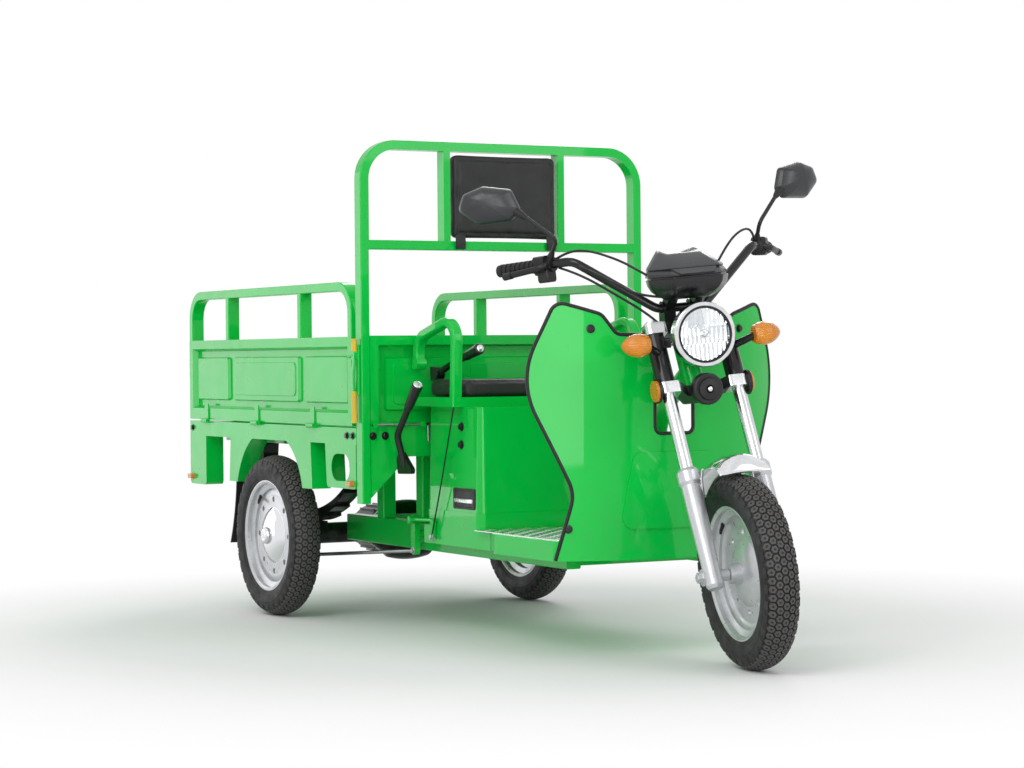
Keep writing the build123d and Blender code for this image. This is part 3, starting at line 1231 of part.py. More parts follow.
# Hand controls: perch with its switch housing, brake lever blade and mirror stem
PERCH_AT = GRIP_L + 6.0
PERCH_L = 46.0
with BuildPart() as hand_controls:
    for at, s in ((0, -1), (1, 1)):
        inward = bar % at if at == 0 else -(bar % at)
        perch = bar @ at + inward * PERCH_AT
        with BuildSketch(Plane(origin=perch, x_dir=(1, 0, 0), z_dir=inward)):
            Circle(BAR_R + 8)
            with Locations((4, 0)):
                RectangleRounded(38, 46, 7)
        extrude(amount=PERCH_L * 0.7)
        with BuildSketch(Plane(origin=perch + inward * PERCH_L * 0.7, z_dir=inward)):
            Circle(BAR_R + 7)
        extrude(amount=PERCH_L * 0.3)
        with BuildLine():
            blade = FilletPolyline(
                perch + inward * 20 + Vector(16, 0, 2), perch + inward * 8 + Vector(52, s * 8, -4),
                perch - inward * 118 + Vector(58, s * 6, -14), radius=18,
            )
        with BuildSketch(Plane(origin=blade @ 0, x_dir=(0, 0, 1), z_dir=blade % 0)):
            Ellipse(8, 6)
        sweep(path=blade)
        with BuildSketch(Plane(origin=blade @ 1, z_dir=blade % 1)):
            Circle(9)
        extrude(amount=12, both=True)
        with BuildLine():
            stem = FilletPolyline(
                perch + inward * 34 + Vector(0, 0, 12), (TOP_X - 84, s * 266, TOP_Z + 246),
                (TOP_X - 117, s * 325, TOP_Z + 303), (TOP_X - 132, s * 350, TOP_Z + 324), radius=20,
            )
        with BuildSketch(Plane(origin=stem @ 0, z_dir=stem % 0)):
            Circle(5)
        sweep(path=stem)
        with BuildSketch(Plane(origin=bar @ at, z_dir=inward)):
            Circle(BAR_R)
        extrude(amount=PERCH_AT + PERCH_L + 10, mode=Mode.SUBTRACT)
    add(mirror_shells.part, mode=Mode.SUBTRACT)
write(hand_controls, "hand_controls", STEER_TURN)

# Front mudguard: a short arched saddle between the sliders with rolled side beads
GUARD_HALF_W = 63.0
GUARD_R = TYRE_R + 19
GUARD_CROWN = 28.0
with BuildPart() as front_fender:
    with BuildSketch(Plane(origin=(FX, 0, AXLE_Z), x_dir=(0, 1, 0), z_dir=(1, 0, 0))):
        with BuildLine():
            w = GUARD_HALF_W
            ThreePointArc((-w, GUARD_R), (0, GUARD_R + GUARD_CROWN), (w, GUARD_R))
            Line((w, GUARD_R), (w - SHEET, GUARD_R - SHEET))
            ThreePointArc(
                (w - SHEET, GUARD_R - SHEET), (0, GUARD_R + GUARD_CROWN - SHEET), (SHEET - w, GUARD_R - SHEET)
            )
            Line((SHEET - w, GUARD_R - SHEET), (-w, GUARD_R))
        make_face()
    revolve(axis=Axis((FX, 0, AXLE_Z), (0, -1, 0)), revolution_arc=52)
write(front_fender, "front_fender", STEER_TURN)
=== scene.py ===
# %% [markdown]
# # An electric cargo tricycle, dressed for a picture
# The CAD model gives every solid of the tricycle in metres, in one frame: forward is +X, the
# rider's left is +Y and up is +Z. This lesson loads it, lights it, paints it and adds what a solid
# modeller leaves out: tread blocks, sewn upholstery, rubber trim, bolts, latches and cables.

# %% Load the model
import json
import bmesh
import bpy
import numpy as np
from mathutils import Matrix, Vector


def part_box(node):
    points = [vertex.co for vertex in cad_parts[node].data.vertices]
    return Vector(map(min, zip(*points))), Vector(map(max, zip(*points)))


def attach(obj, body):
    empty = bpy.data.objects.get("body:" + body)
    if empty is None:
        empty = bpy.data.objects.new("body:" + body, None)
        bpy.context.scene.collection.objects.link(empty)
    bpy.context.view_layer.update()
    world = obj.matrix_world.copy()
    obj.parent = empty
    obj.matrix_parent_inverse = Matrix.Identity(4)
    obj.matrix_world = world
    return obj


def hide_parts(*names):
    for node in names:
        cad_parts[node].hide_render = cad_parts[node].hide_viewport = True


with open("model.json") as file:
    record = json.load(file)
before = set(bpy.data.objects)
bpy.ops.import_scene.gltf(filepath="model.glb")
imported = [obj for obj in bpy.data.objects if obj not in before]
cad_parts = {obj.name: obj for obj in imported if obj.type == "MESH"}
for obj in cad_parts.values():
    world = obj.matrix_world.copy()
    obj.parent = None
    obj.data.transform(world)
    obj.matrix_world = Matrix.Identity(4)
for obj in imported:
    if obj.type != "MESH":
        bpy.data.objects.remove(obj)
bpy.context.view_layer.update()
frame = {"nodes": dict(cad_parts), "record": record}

# %% [markdown]
# ## The camera
# The photograph was taken from the front right, about at the height of the seat, with a long lens.
# Its place was worked out from known sizes, so it is set as numbers and not by eye: the heading,
# the tilt and the roll give three directions, and these are the columns of the camera's matrix.

# %% Camera
HEADING, TILT, ROLL = np.radians([61.3, 0.6, -0.5])
CAMERA_AT, SEES_TO = (6.0181, -3.3204, 0.7328), 200
FOCAL_PIXELS, IMAGE_WIDTH, SENSOR = 2541.7, 1024, 36.0


def in_scene(name, data):
    """A new object of that name and data, linked into the scene."""
    thing = bpy.data.objects.new(name, data)
    bpy.context.scene.collection.objects.link(thing)
    return thing


def standing(across, upward, backward, place):
    """The matrix whose columns are an object's three directions and its place."""
    matrix = np.eye(4)
    matrix[:3] = np.stack([across, upward, backward, place], -1)
    return Matrix(matrix.tolist())


look = np.array([-np.sin(HEADING), np.cos(HEADING), 0.0])
right = np.array([np.cos(HEADING), np.sin(HEADING), 0.0])
up = np.array([0.0, 0.0, 1.0])
forward = look * np.cos(TILT) - up * np.sin(TILT)
upright = up * np.cos(TILT) + look * np.sin(TILT)
image_x = right * np.cos(ROLL) + upright * np.sin(ROLL)
image_y = upright * np.cos(ROLL) - right * np.sin(ROLL)

camera = in_scene("camera", bpy.data.cameras.new("camera"))
camera.matrix_world = standing(image_x, image_y, -forward, CAMERA_AT)
camera.data.sensor_width = SENSOR
camera.data.lens = FOCAL_PIXELS * SENSOR / IMAGE_WIDTH
camera.data.clip_end = SEES_TO
bpy.context.scene.camera = camera
print("lens in mm:", round(camera.data.lens, 1))

# %% [markdown]
# ## Node helpers
# A finish is a small network of nodes. A few short helpers keep the cells that follow readable:
# they give a socket a constant or a link, add a node with its values, and start a finish with its
# constants on the shader itself. The same helpers serve a material and the world.

# %% Node helpers
def give(owner, socket, value):
    """Sets a socket to a constant, or links it to the socket that the value comes from."""
    if isinstance(value, bpy.types.NodeSocket):
        owner.node_tree.links.new(value, socket)
    else:
        socket.default_value = value


def feed(owner, node, **values):
    """Gives each value to the node's socket of that name, or else to its property."""
    for name, value in values.items():
        socket = node.inputs.get(name.replace("_", " "))
        if socket is None:
            setattr(node, name, value)
        else:
            give(owner, socket, value)


def add_node(owner, kind, **values):
    """A new node of one kind, fed with its values."""
    node = owner.node_tree.nodes.new(kind)
    feed(owner, node, **values)
    return node


def maths(owner, operation, *values, kind="Math"):
    """Arithmetic on numbers or sockets; with kind VectorMath, a length or a dot product."""
    node = add_node(owner, "ShaderNode" + kind, operation=operation)
    for socket, value in zip(node.inputs, values):
        give(owner, socket, value)
    return node.outputs["Value"]


def new_finish(name, colour, roughness, **values):
    """A material with its constants on the Principled shader's own sockets."""
    material = bpy.data.materials.new(name)
    material.use_nodes = True
    shader = material.node_tree.nodes["Principled BSDF"]
    feed(material, shader, Base_Color=(*colour, 1), Roughness=roughness, **values)
    return material, shader


print("node helpers ready")

# %% [markdown]
# ## Pattern helpers
# Every pattern starts from the Object coordinates, which stay with the piece wherever it moves.
# Noise gives patches, a range brings them to the values wanted, and a blend or a bump turns them
# into colour or grain.

# %% Pattern helpers
MIX_FACTOR, MIX_NUMBERS, MIX_COLOURS, COLOUR_OUT = 0, (2, 3), (6, 7), 2  # sockets of a Mix node


def place_of(material, stretch=(1, 1, 1), centre=(0, 0, 0)):
    """Object coordinates, moved by -centre and multiplied by stretch."""
    coordinates = add_node(material, "ShaderNodeTexCoord")
    mapping = add_node(material, "ShaderNodeMapping", Vector=coordinates.outputs["Object"],
                       Scale=stretch, Location=[-c * s for c, s in zip(centre, stretch)])
    return mapping.outputs["Vector"]


def along(owner, place, axis):
    """One coordinate of a place."""
    return add_node(owner, "ShaderNodeSeparateXYZ", Vector=place).outputs[axis]


def mottle(material, place, scale, detail):
    """Soft noise, about 0.5 on average."""
    noise = add_node(material, "ShaderNodeTexNoise", Vector=place, Scale=scale, Detail=detail)
    return noise.outputs["Fac"]


def spread(material, value, low, high, start=0.3, stop=0.7):
    """A value brought from start..stop to low..high, and held at the ends."""
    ranged = add_node(material, "ShaderNodeMapRange", Value=value, From_Min=start, From_Max=stop,
                      To_Min=low, To_Max=high)
    return ranged.outputs["Result"]


def patches(material, place, scale, detail, low=0.0, high=1.0):
    """Noise whose patches go from low to high."""
    return spread(material, mottle(material, place, scale, detail), low, high)


def blend_colours(material, factor, first, second):
    """A colour between first and second; each is a colour or a socket."""
    mix = add_node(material, "ShaderNodeMix", data_type="RGBA")
    give(material, mix.inputs[MIX_FACTOR], factor)
    for number, value in zip(MIX_COLOURS, (first, second)):
        colour = (*value, 1) if isinstance(value, tuple) else value
        give(material, mix.inputs[number], colour)
    return mix.outputs[COLOUR_OUT]


def raise_grain(material, shader, height, depth, below=None):
    """A bump of that depth in metres, laid over another bump where one is given."""
    bump = add_node(material, "ShaderNodeBump", Strength=1.0, Distance=depth, Height=height)
    if below is not None:
        give(material, bump.inputs["Normal"], below)
    give(material, shader.inputs["Normal"], bump.outputs["Normal"])
    return bump.outputs["Normal"]


print("pattern helpers ready")

# %% [markdown]
# ## Floor
# The photograph is a cut-out on white. Here a pale floor keeps the shadow near the wheels. Further
# off it turns plain white for the camera, in reflections and through glass, so that no horizon
# shows, and it still catches light like a floor.

# %% Floor
FLOOR_HALF, FLOOR_DROP, SHADOW_REACH = 40.0, 0.0005, (1.15, 2.2)


def plain_sight(owner):
    """1 for a ray from the camera, off a gloss or through glass: they see the white background."""
    rays = add_node(owner, "ShaderNodeLightPath").outputs
    seen = maths(owner, "MAXIMUM", rays["Is Glossy Ray"], rays["Is Transmission Ray"])
    return maths(owner, "MAXIMUM", rays["Is Camera Ray"], seen)


def choose_shader(owner, factor, first, second):
    """The first node's shader where the factor is 0, the second's where it is 1."""
    mix = add_node(owner, "ShaderNodeMixShader", Fac=factor)
    for socket, node in zip(mix.inputs[1:], (first, second)):
        give(owner, socket, node.outputs[0])
    return mix.outputs[0]


floor_mesh = bpy.data.meshes.new("studio_floor")
corners = FLOOR_HALF * np.array([[-1, -1, 0], [1, -1, 0], [1, 1, 0], [-1, 1, 0]], float)
floor_mesh.from_pydata((corners - [0, 0, FLOOR_DROP]).tolist(), [], [[0, 1, 2, 3]])
floor = in_scene("studio_floor", floor_mesh)
floor_finish, floor_shader = new_finish("pale_floor", (0.92, 0.92, 0.92), 0.9)
place = place_of(floor_finish)
grain = mottle(floor_finish, place, 6.0, 3)
feed(floor_finish, floor_shader,
     Base_Color=blend_colours(floor_finish, grain, (0.91, 0.91, 0.91), (0.93, 0.93, 0.93)))
reach = maths(floor_finish, "LENGTH", place, kind="VectorMath")
far = spread(floor_finish, reach, 0, 1, *SHADOW_REACH)
white_where = maths(floor_finish, "MULTIPLY", far, plain_sight(floor_finish))
white = add_node(floor_finish, "ShaderNodeEmission", Strength=1.0)
feed(floor_finish, floor_finish.node_tree.nodes["Material Output"],
     Surface=choose_shader(floor_finish, white_where, floor_shader, white))
floor_mesh.materials.append(floor_finish)
print("floor:", floor.name, "half width in m:", FLOOR_HALF)

# %% [markdown]
# ## World
# The world is white to the same rays, while the light that it gives falls off towards the horizon.
# Lit evenly from all round, the upright faces would all look alike.

# %% World
SKY_STEPS = ((0.02, (0.10, 0.105, 0.11, 1)), (0.55, (1, 1, 1, 1)))  # height, colour
SKY_STRENGTH = 0.55

world = bpy.data.worlds.new("studio_world")
bpy.context.scene.world = world
world.use_nodes = True
world.node_tree.nodes.clear()
height = along(world, add_node(world, "ShaderNodeTexCoord").outputs["Generated"], "Z")
fade = add_node(world, "ShaderNodeValToRGB", Fac=height)
for step, (position, colour) in zip(fade.color_ramp.elements, SKY_STEPS):
    step.position, step.color = position, colour
glow = add_node(world, "ShaderNodeBackground", Color=fade.outputs["Color"], Strength=SKY_STRENGTH)
backdrop = add_node(world, "ShaderNodeBackground", Color=(1, 1, 1, 1), Strength=1.0)
add_node(world, "ShaderNodeOutputWorld",
         Surface=choose_shader(world, plain_sight(world), glow, backdrop))
bpy.context.scene.view_settings.view_transform = "Standard"
print("world:", world.name)

# %% [markdown]
# ## Studio lamps
# Three large soft lamps model the form, and two upright panels stand where the paint mirrors them:
# behind on the right for the bed's side, and beside the camera for the rounded edge of the shield.

# %% Studio lamps
LAMPS = (  # name, place, target, width, height, power
    ("key_lamp", (3.2, -4.6, 4.4), (0.0, 0.0, 0.6), 3.5, 3.5, 150),
    ("front_lamp", (6.0, 2.2, 3.2), (0.4, 0.0, 0.6), 3.0, 3.0, 70),
    ("back_lamp", (-4.5, 3.5, 4.0), (0.0, 0.0, 0.6), 3.0, 3.0, 110),
    ("side_panel", (-4.2, -2.6, 1.1), (-0.7, -0.44, 0.7), 3.0, 2.2, 24),
    ("shield_panel", (7.9, -3.9, 1.6), (0.75, -0.25, 0.6), 4.2, 3.0, 140))


def soft_lamp(name, place, target, width, height, power):
    """An oblong area lamp whose -Z axis points from its place to its target; no camera sees it."""
    lamp = in_scene(name, bpy.data.lights.new(name, "AREA"))
    lamp.data.shape, lamp.data.energy = "RECTANGLE", power
    lamp.data.size, lamp.data.size_y = width, height
    lamp.visible_camera = False
    away = np.subtract(place, target)
    away = away / np.linalg.norm(away)
    across = np.cross((0, 0, 1), away)
    across /= np.linalg.norm(across)
    lamp.matrix_world = standing(across, np.cross(away, across), away, place)


for lamp in LAMPS:
    soft_lamp(*lamp)
print("lamps:", len(LAMPS))

# %% [markdown]
# ## Gloss paint
# The frame, the bed and the shield are stove-enamelled in one bright emerald. Real enamel is not a
# flat colour: it has a clear gloss over a body colour that varies a little, a faint orange peel,
# and road dust that lies on the lower faces. Height above the ground is in the Object coordinates,
# so the dust needs no painting by hand.

# %% Emerald enamel
DUST = (0.16, 0.14, 0.11)


def dust_by_height(material, place, clean_at, dusty_at, most):
    """0 above clean_at, rising to most at dusty_at, broken up by noise."""
    low = spread(material, along(material, place, "Z"), 0.0, most, clean_at, dusty_at)
    broken = spread(material, mottle(material, place, 38, 6), 0.0, 1.0, 0.42, 0.68)
    return maths(material, "MULTIPLY", low, broken)


def enamel(name, deep, light, dust):
    """Gloss enamel: two close body colours, orange peel, a clear coat and dust near the ground."""
    material, shader = new_finish(name, light, 0.3, Specular_IOR_Level=0.1,
                                  Coat_Weight=0.55, Coat_Roughness=0.03)
    place = place_of(material)
    body = blend_colours(material, patches(material, place, 2.2, 3), deep, light)
    dirt = dust_by_height(material, place, 0.52, 0.14, dust)
    feed(material, shader, Base_Color=blend_colours(material, dirt, body, DUST),
         Roughness=patches(material, place, 18, 4, 0.26, 0.4))
    raise_grain(material, shader, mottle(material, place, 240, 2), 0.000025)
    return material


green_enamel = enamel("emerald_enamel", (0.0, 0.49, 0.050), (0.0, 0.58, 0.066), 0.12)
black_enamel = enamel("black_enamel", (0.006, 0.006, 0.007), (0.014, 0.014, 0.015), 0.15)
print("enamels:", green_enamel.name, black_enamel.name)

# %% [markdown]
# ## Metals
# Aluminium is brushed and clear-lacquered, chrome plate is almost a mirror with faint smears, zinc
# plate is dull, and the silver behind glass is the cleanest. Brushing is noise squeezed along one
# axis, so one function makes all four.

# %% Metals
def brushed_metal(name, dark, bright, rough, stretch=(1, 1, 1), depth=0.00001):
    """Metal with streaks: stretched noise drives colour and a fine bump, plain noise roughness."""
    material, shader = new_finish(name, bright, rough[0], Metallic=1.0)
    streak = mottle(material, place_of(material, stretch), 60, 4)
    feed(material, shader,
         Base_Color=blend_colours(material, spread(material, streak, 0, 1), dark, bright),
         Roughness=patches(material, place_of(material), 24, 5, *rough))
    raise_grain(material, shader, streak, depth)
    return material


alloy = brushed_metal("lacquered_alloy", (0.60, 0.61, 0.62), (0.72, 0.73, 0.75), (0.2, 0.34),
                      stretch=(3, 3, 0.5))
chrome = brushed_metal("chrome_plate", (0.66, 0.67, 0.69), (0.80, 0.81, 0.83), (0.04, 0.16))
steel = brushed_metal("zinc_steel", (0.33, 0.33, 0.34), (0.55, 0.55, 0.56), (0.28, 0.5),
                      stretch=(2, 2, 8), depth=0.00003)
mirror_silver = brushed_metal("mirror_silver", (0.70, 0.72, 0.74), (0.80, 0.82, 0.84),
                              (0.01, 0.05), depth=0.000002)
print("metals:", alloy.name, chrome.name, steel.name, mirror_silver.name)

# %% [markdown]
# ## Wheel paint
# The pressed steel wheels and the fork sliders are painted silver, with a fine flake in the paint.
# The wheels behind wear a chrome cap, picked out by its distance from the axle, because cap and rim
# are one solid.

# %% Wheel paint
MM = 0.001  # metres in a millimetre
REAR_X, HUB_Z = -704.5, 229.0
CAP_R, CAP_Y, CAP_SOFT = 0.0805, 0.4235, 0.0005
PAINT_METAL, CAP_ROUGH = 0.55, 0.08


def on_cap(material, place):
    """1 on the rear hub caps: within CAP_R of the axle and further out than CAP_Y."""
    from_axle = place_of(material, (1, 0, 1), (REAR_X * MM, 0, HUB_Z * MM))
    reach = maths(material, "LENGTH", from_axle, kind="VectorMath")
    out_by = maths(material, "ABSOLUTE", along(material, place, "Y"))
    return maths(material, "MULTIPLY", spread(material, reach, 1, 0, CAP_R, CAP_R + CAP_SOFT),
                 spread(material, out_by, 0, 1, CAP_Y, CAP_Y + CAP_SOFT))


def wheel_silver(name, capped=False, dust=0.2):
    """Silver paint with fine flake; where capped, the hub caps are chrome."""
    material, shader = new_finish(name, (0.6, 0.61, 0.63), 0.34, Metallic=PAINT_METAL)
    place = place_of(material)
    flake = patches(material, place, 900, 1)
    paint = blend_colours(material, flake, (0.50, 0.51, 0.53), (0.64, 0.65, 0.67))
    dirt = dust_by_height(material, place, 0.45, 0.05, dust)
    paint = blend_colours(material, dirt, paint, DUST)
    rough = patches(material, place, 30, 4, 0.26, 0.42)
    if capped:
        mask = on_cap(material, place)
        paint = blend_colours(material, mask, paint, (0.78, 0.79, 0.81))
        feed(material, shader, Metallic=spread(material, mask, PAINT_METAL, 1.0, 0, 1))
        polish = add_node(material, "ShaderNodeMix")
        for number, value in zip((MIX_FACTOR, *MIX_NUMBERS), (mask, rough, CAP_ROUGH)):
            give(material, polish.inputs[number], value)
        rough = polish.outputs[0]
    feed(material, shader, Base_Color=paint, Roughness=rough)
    raise_grain(material, shader, mottle(material, place, 700, 2), 0.00004)
    return material


front_wheel_paint = wheel_silver("front_wheel_silver")
rear_wheel_paint = wheel_silver("rear_wheel_silver", capped=True)
fork_silver = wheel_silver("fork_silver", dust=0.05)
print("silver paints:", front_wheel_paint.name, rear_wheel_paint.name, fork_silver.name)

# %% [markdown]
# ## Rubber, plastic and leatherette
# Tyres are matt and a little brown with dust; moulded plastic has a spark-eroded grain; leatherette
# has small cells pressed into it, which a cell texture gives directly, and a soft sheen.

# %% Rubber, plastic, leatherette
def moulded(name, dark, light, rough, grain, dust=0.0, dust_from=0.3, shine=0.35):
    """Moulded goods: slow colour drift, pebble grain (scale, depth), and dust near the ground."""
    material, shader = new_finish(name, light, rough[0], Specular_IOR_Level=shine)
    place = place_of(material)
    body = blend_colours(material, patches(material, place, 9, 4), dark, light)
    if dust:
        dirt = dust_by_height(material, place, dust_from, 0.0, dust)
        body = blend_colours(material, dirt, body, DUST)
    feed(material, shader, Base_Color=body, Roughness=patches(material, place, 40, 4, *rough))
    raise_grain(material, shader, mottle(material, place, grain[0], 2), grain[1])
    return material


tyre_rubber = moulded("tyre_rubber", (0.007, 0.007, 0.008), (0.016, 0.016, 0.017), (0.5, 0.72),
                      (500, 0.00015), dust=0.1, dust_from=0.46)
trim_rubber = moulded("trim_rubber", (0.007, 0.007, 0.008), (0.014, 0.014, 0.015), (0.42, 0.6),
                      (300, 0.0001), dust=0.08)
black_plastic = moulded("black_plastic", (0.009, 0.009, 0.010), (0.018, 0.018, 0.020), (0.32, 0.5),
                        (1300, 0.00008))
grey_plastic = moulded("pod_plastic", (0.018, 0.019, 0.022), (0.030, 0.032, 0.037), (0.26, 0.4),
                       (1300, 0.00006), shine=0.5)
yellow_pvc = moulded("yellow_dip_pvc", (0.62, 0.42, 0.02), (0.78, 0.56, 0.04), (0.35, 0.55),
                     (200, 0.0001))


def leatherette_finish(name):
    """Black leatherette: small cells pressed in over soft creases, glossier spots, a sheen."""
    material, shader = new_finish(name, (0.02, 0.02, 0.021), 0.5, Specular_IOR_Level=0.4,
                                  Sheen_Weight=0.06, Sheen_Roughness=0.4)
    place = place_of(material)
    body = blend_colours(material, patches(material, place, 7, 4), (0.007, 0.007, 0.008),
                         (0.017, 0.017, 0.018))
    feed(material, shader, Base_Color=body, Roughness=patches(material, place, 16, 4, 0.36, 0.58))
    cells = add_node(material, "ShaderNodeTexVoronoi", feature="DISTANCE_TO_EDGE", Vector=place,
                     Scale=420.0).outputs["Distance"]
    crease = raise_grain(material, shader, mottle(material, place, 30, 3), 0.0012)
    raise_grain(material, shader, spread(material, cells, 0, 1, 0.0, 0.25), 0.00022, crease)
    return material


leatherette = leatherette_finish("black_leatherette")
print("black goods:", tyre_rubber.name, trim_rubber.name, black_plastic.name, leatherette.name)

# %% [markdown]
# ## Lens plastics
# Lens plastic lets some light through and is moulded with ribs. A wave texture across the lens
# gives the ribs, and partial transmission gives the depth of colour. The tail lamp shows amber
# above, red below and a clear band at the foot.

# %% Lens plastics
TAIL_BANDS = (  # from this height up, this colour
    (0, (0.7, 0.7, 0.7)), (0.392, (0.5, 0.008, 0.006)), (0.44, (0.85, 0.24, 0.006)))


def lens_plastic(name, bands, rib_scale, rib_axis, let_through):
    """Coloured lens: bands of colour by height, moulded ribs from a wave, partial transmission."""
    colour = bands[0][1]
    darker = tuple(0.7 * c for c in colour)
    material, shader = new_finish(name, colour, 0.18, Transmission_Weight=let_through,
                                  Coat_Weight=0.35, Coat_Roughness=0.05)
    place = place_of(material)
    for start, paint in bands[1:]:
        above = spread(material, along(material, place, "Z"), 0, 1, start, start + 0.001)
        colour = blend_colours(material, above, colour, paint)
    drift = patches(material, place, 60, 3, 0.0, 0.35)
    feed(material, shader, Base_Color=blend_colours(material, drift, colour, darker),
         Roughness=patches(material, place, 90, 3, 0.12, 0.26))
    ribs = add_node(material, "ShaderNodeTexWave", Vector=place, Scale=rib_scale,
                    bands_direction=rib_axis)
    raise_grain(material, shader, ribs.outputs["Fac"], 0.0006)
    return material


amber_lens = lens_plastic("amber_lens", ((0, (0.84, 0.29, 0.002)),), 60, "Z", 0.25)
tail_lens = lens_plastic("tail_lens", TAIL_BANDS, 70, "Y", 0.2)
lamp_glass, glass_shader = new_finish("lamp_glass", (0.97, 0.98, 0.99), 0.02,
                                      Transmission_Weight=1.0, IOR=1.45)
smear = patches(lamp_glass, place_of(lamp_glass), 30, 3, 0.0, 0.06)
feed(lamp_glass, glass_shader, Roughness=smear)
print("lenses:", amber_lens.name, tail_lens.name, lamp_glass.name)

# %% [markdown]
# ## Paint the CAD nodes
# Every solid takes the finish of its slot in the record. Only the rear wheels, with their caps,
# take a finish of their own.

# %% Paint the nodes
SLOT_FINISH = {
    "green_paint": green_enamel, "rubber": trim_rubber, "tyre": tyre_rubber,
    "silver_wheel": front_wheel_paint, "alloy": alloy, "chrome": chrome,
    "black_plastic": black_plastic, "black_metal": black_enamel, "steel": steel,
    "leatherette": leatherette, "amber": amber_lens, "red": tail_lens, "lamp_glass": lamp_glass,
}
OWN_FINISH = {"rear_rim_right": rear_wheel_paint, "rear_rim_left": rear_wheel_paint}
for part in frame["record"]["subparts"]:
    node = frame["nodes"][part["node"]]
    node.data.materials.clear()
    node.data.materials.append(OWN_FINISH.get(part["node"], SLOT_FINISH[part["material_slot"]]))

# %% [markdown]
# ## Turning numbers into meshes
# Every new piece below is worked out as whole numpy arrays in millimetres: a grid of points is a
# function of two parameters, and its quads follow from counting rows and columns. A shape is its
# points and its blocks of faces. One helper makes the mesh of one shape or several, merges the
# points at seams and poles, turns the faces outwards and gives the piece to the body it rides on.

# %% Mesh helpers
MERGE_WITHIN = 1e-6  # metres


def grid_faces(rows, columns, close_rows=False, close_columns=True):
    """Quads of a rows x columns grid of points; a closed way joins its last line to its first."""
    r = np.arange(rows if close_rows else rows - 1)
    c = np.arange(columns if close_columns else columns - 1)
    r, c = np.meshgrid(r, c, indexing="ij")
    r2, c2 = (r + 1) % rows, (c + 1) % columns
    quads = [r * columns + c, r2 * columns + c, r2 * columns + c2, r * columns + c2]
    return np.stack(quads, -1).reshape(-1, 4)


def repeated(faces, each, count):
    """The faces of one small shape of so many points each, repeated for a count of copies."""
    faces = np.asarray(faces)
    return (each * np.arange(count)[:, None, None] + faces).reshape(-1, faces.shape[-1])


def gather(shapes):
    """Several (points, faces) shapes as one, with the corner numbers moved up."""
    points, faces, count = [], [], 0
    for shape, blocks in shapes:
        flat = np.asarray(shape, float).reshape(-1, 3)
        points.append(flat)
        faces += [np.asarray(block) + count for block in blocks]
        count += len(flat)
    return np.concatenate(points), faces


def make_piece(name, shapes, finish, body, crisp=35.0):
    """A mesh object at the origin, in metres, smooth up to the crisp angle, riding on its body."""
    points, faces = gather(shapes if isinstance(shapes, list) else [shapes])
    mesh = bpy.data.meshes.new(name)
    mesh.from_pydata((points * MM).tolist(), [], [row for block in faces for row in block.tolist()])
    work = bmesh.new()
    work.from_mesh(mesh)
    bmesh.ops.remove_doubles(work, verts=work.verts, dist=MERGE_WITHIN)
    bmesh.ops.recalc_face_normals(work, faces=work.faces)
    work.to_mesh(mesh)
    work.free()
    mesh.polygons.foreach_set("use_smooth", np.ones(len(mesh.polygons), bool))
    mesh.set_sharp_from_angle(angle=np.radians(crisp))
    mesh.materials.append(finish)
    piece = in_scene(name, mesh)
    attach(piece, body)
    print(name, "faces:", len(mesh.polygons))
    return piece


print("mesh helpers ready")

# %% [markdown]
# ## The lathe
# Wheels, boots and buttons are turned shapes: a profile of pairs, along the axle and away from it,
# goes once round. All that the formula needs is two directions across the axle, and one function
# finds them for any axle.

# %% Lathe
def unit(vectors):
    """Vectors of length one."""
    vectors = np.asarray(vectors, float)
    return vectors / np.linalg.norm(vectors, axis=-1, keepdims=True)


def frame_about(axis):
    """Two directions across an axis and across each other, for one axis or for rows of axes."""
    axis = unit(axis)
    steep = np.abs(axis[..., 2:3]) > 0.9
    helper = np.where(steep, [[1.0, 0, 0]], [[0, 0, 1.0]]).reshape(axis.shape)
    first = unit(np.cross(helper, axis))
    return first, np.cross(axis, first)


def round_turn(sides):
    """Angles of equal steps once round."""
    return np.linspace(0, 2 * np.pi, sides, endpoint=False)


def lathe(profile, at, axis, sides=48, close=False):
    """at + u * axis + r * (cos a, sin a) across the axis, for each (u, r) of the profile."""
    profile = np.asarray(profile, float)
    first, second = frame_about(np.asarray(axis, float))
    angle = round_turn(sides)
    ring = np.cos(angle)[:, None] * first + np.sin(angle)[:, None] * second
    points = np.asarray(at) + profile[:, None, :1] * unit(axis) + profile[:, None, 1:] * ring[None]
    return points, [grid_faces(len(profile), sides, close)]


print("lathe ready")

# %% [markdown]
# ## Drawn bars
# Rods, straps, levers and beads are one section carried along a path. A wire with round bends is a
# path whose corners are replaced by short parabolas. Rows of outlines are joined by one skin, and a
# section may be scaled on its way, as on a valve stem.

# %% Bars and bent paths
def round_bends(corners, reach, steps=9):
    """Runs whose corners P become (1-s)^2 A + 2s(1-s) P + s^2 B, A and B at reach from P."""
    corners = np.asarray(corners, float)
    before, corner, after = corners[:-2], corners[1:-1], corners[2:]
    start = (corner + unit(before - corner) * reach)[:, None]
    stop = (corner + unit(after - corner) * reach)[:, None]
    s = np.linspace(0, 1, steps)[None, :, None]
    bends = (1 - s) ** 2 * start + 2 * s * (1 - s) * corner[:, None] + s**2 * stop
    return np.concatenate([corners[:1], bends.reshape(-1, 3), corners[-1:]])


def skin(points):
    """Rows of closed outlines as a shape, with a cap on the first row and on the last."""
    rows, columns = points.shape[:2]
    first = np.arange(columns)[None]
    return points, [grid_faces(rows, columns), first, (rows - 1) * columns + first]


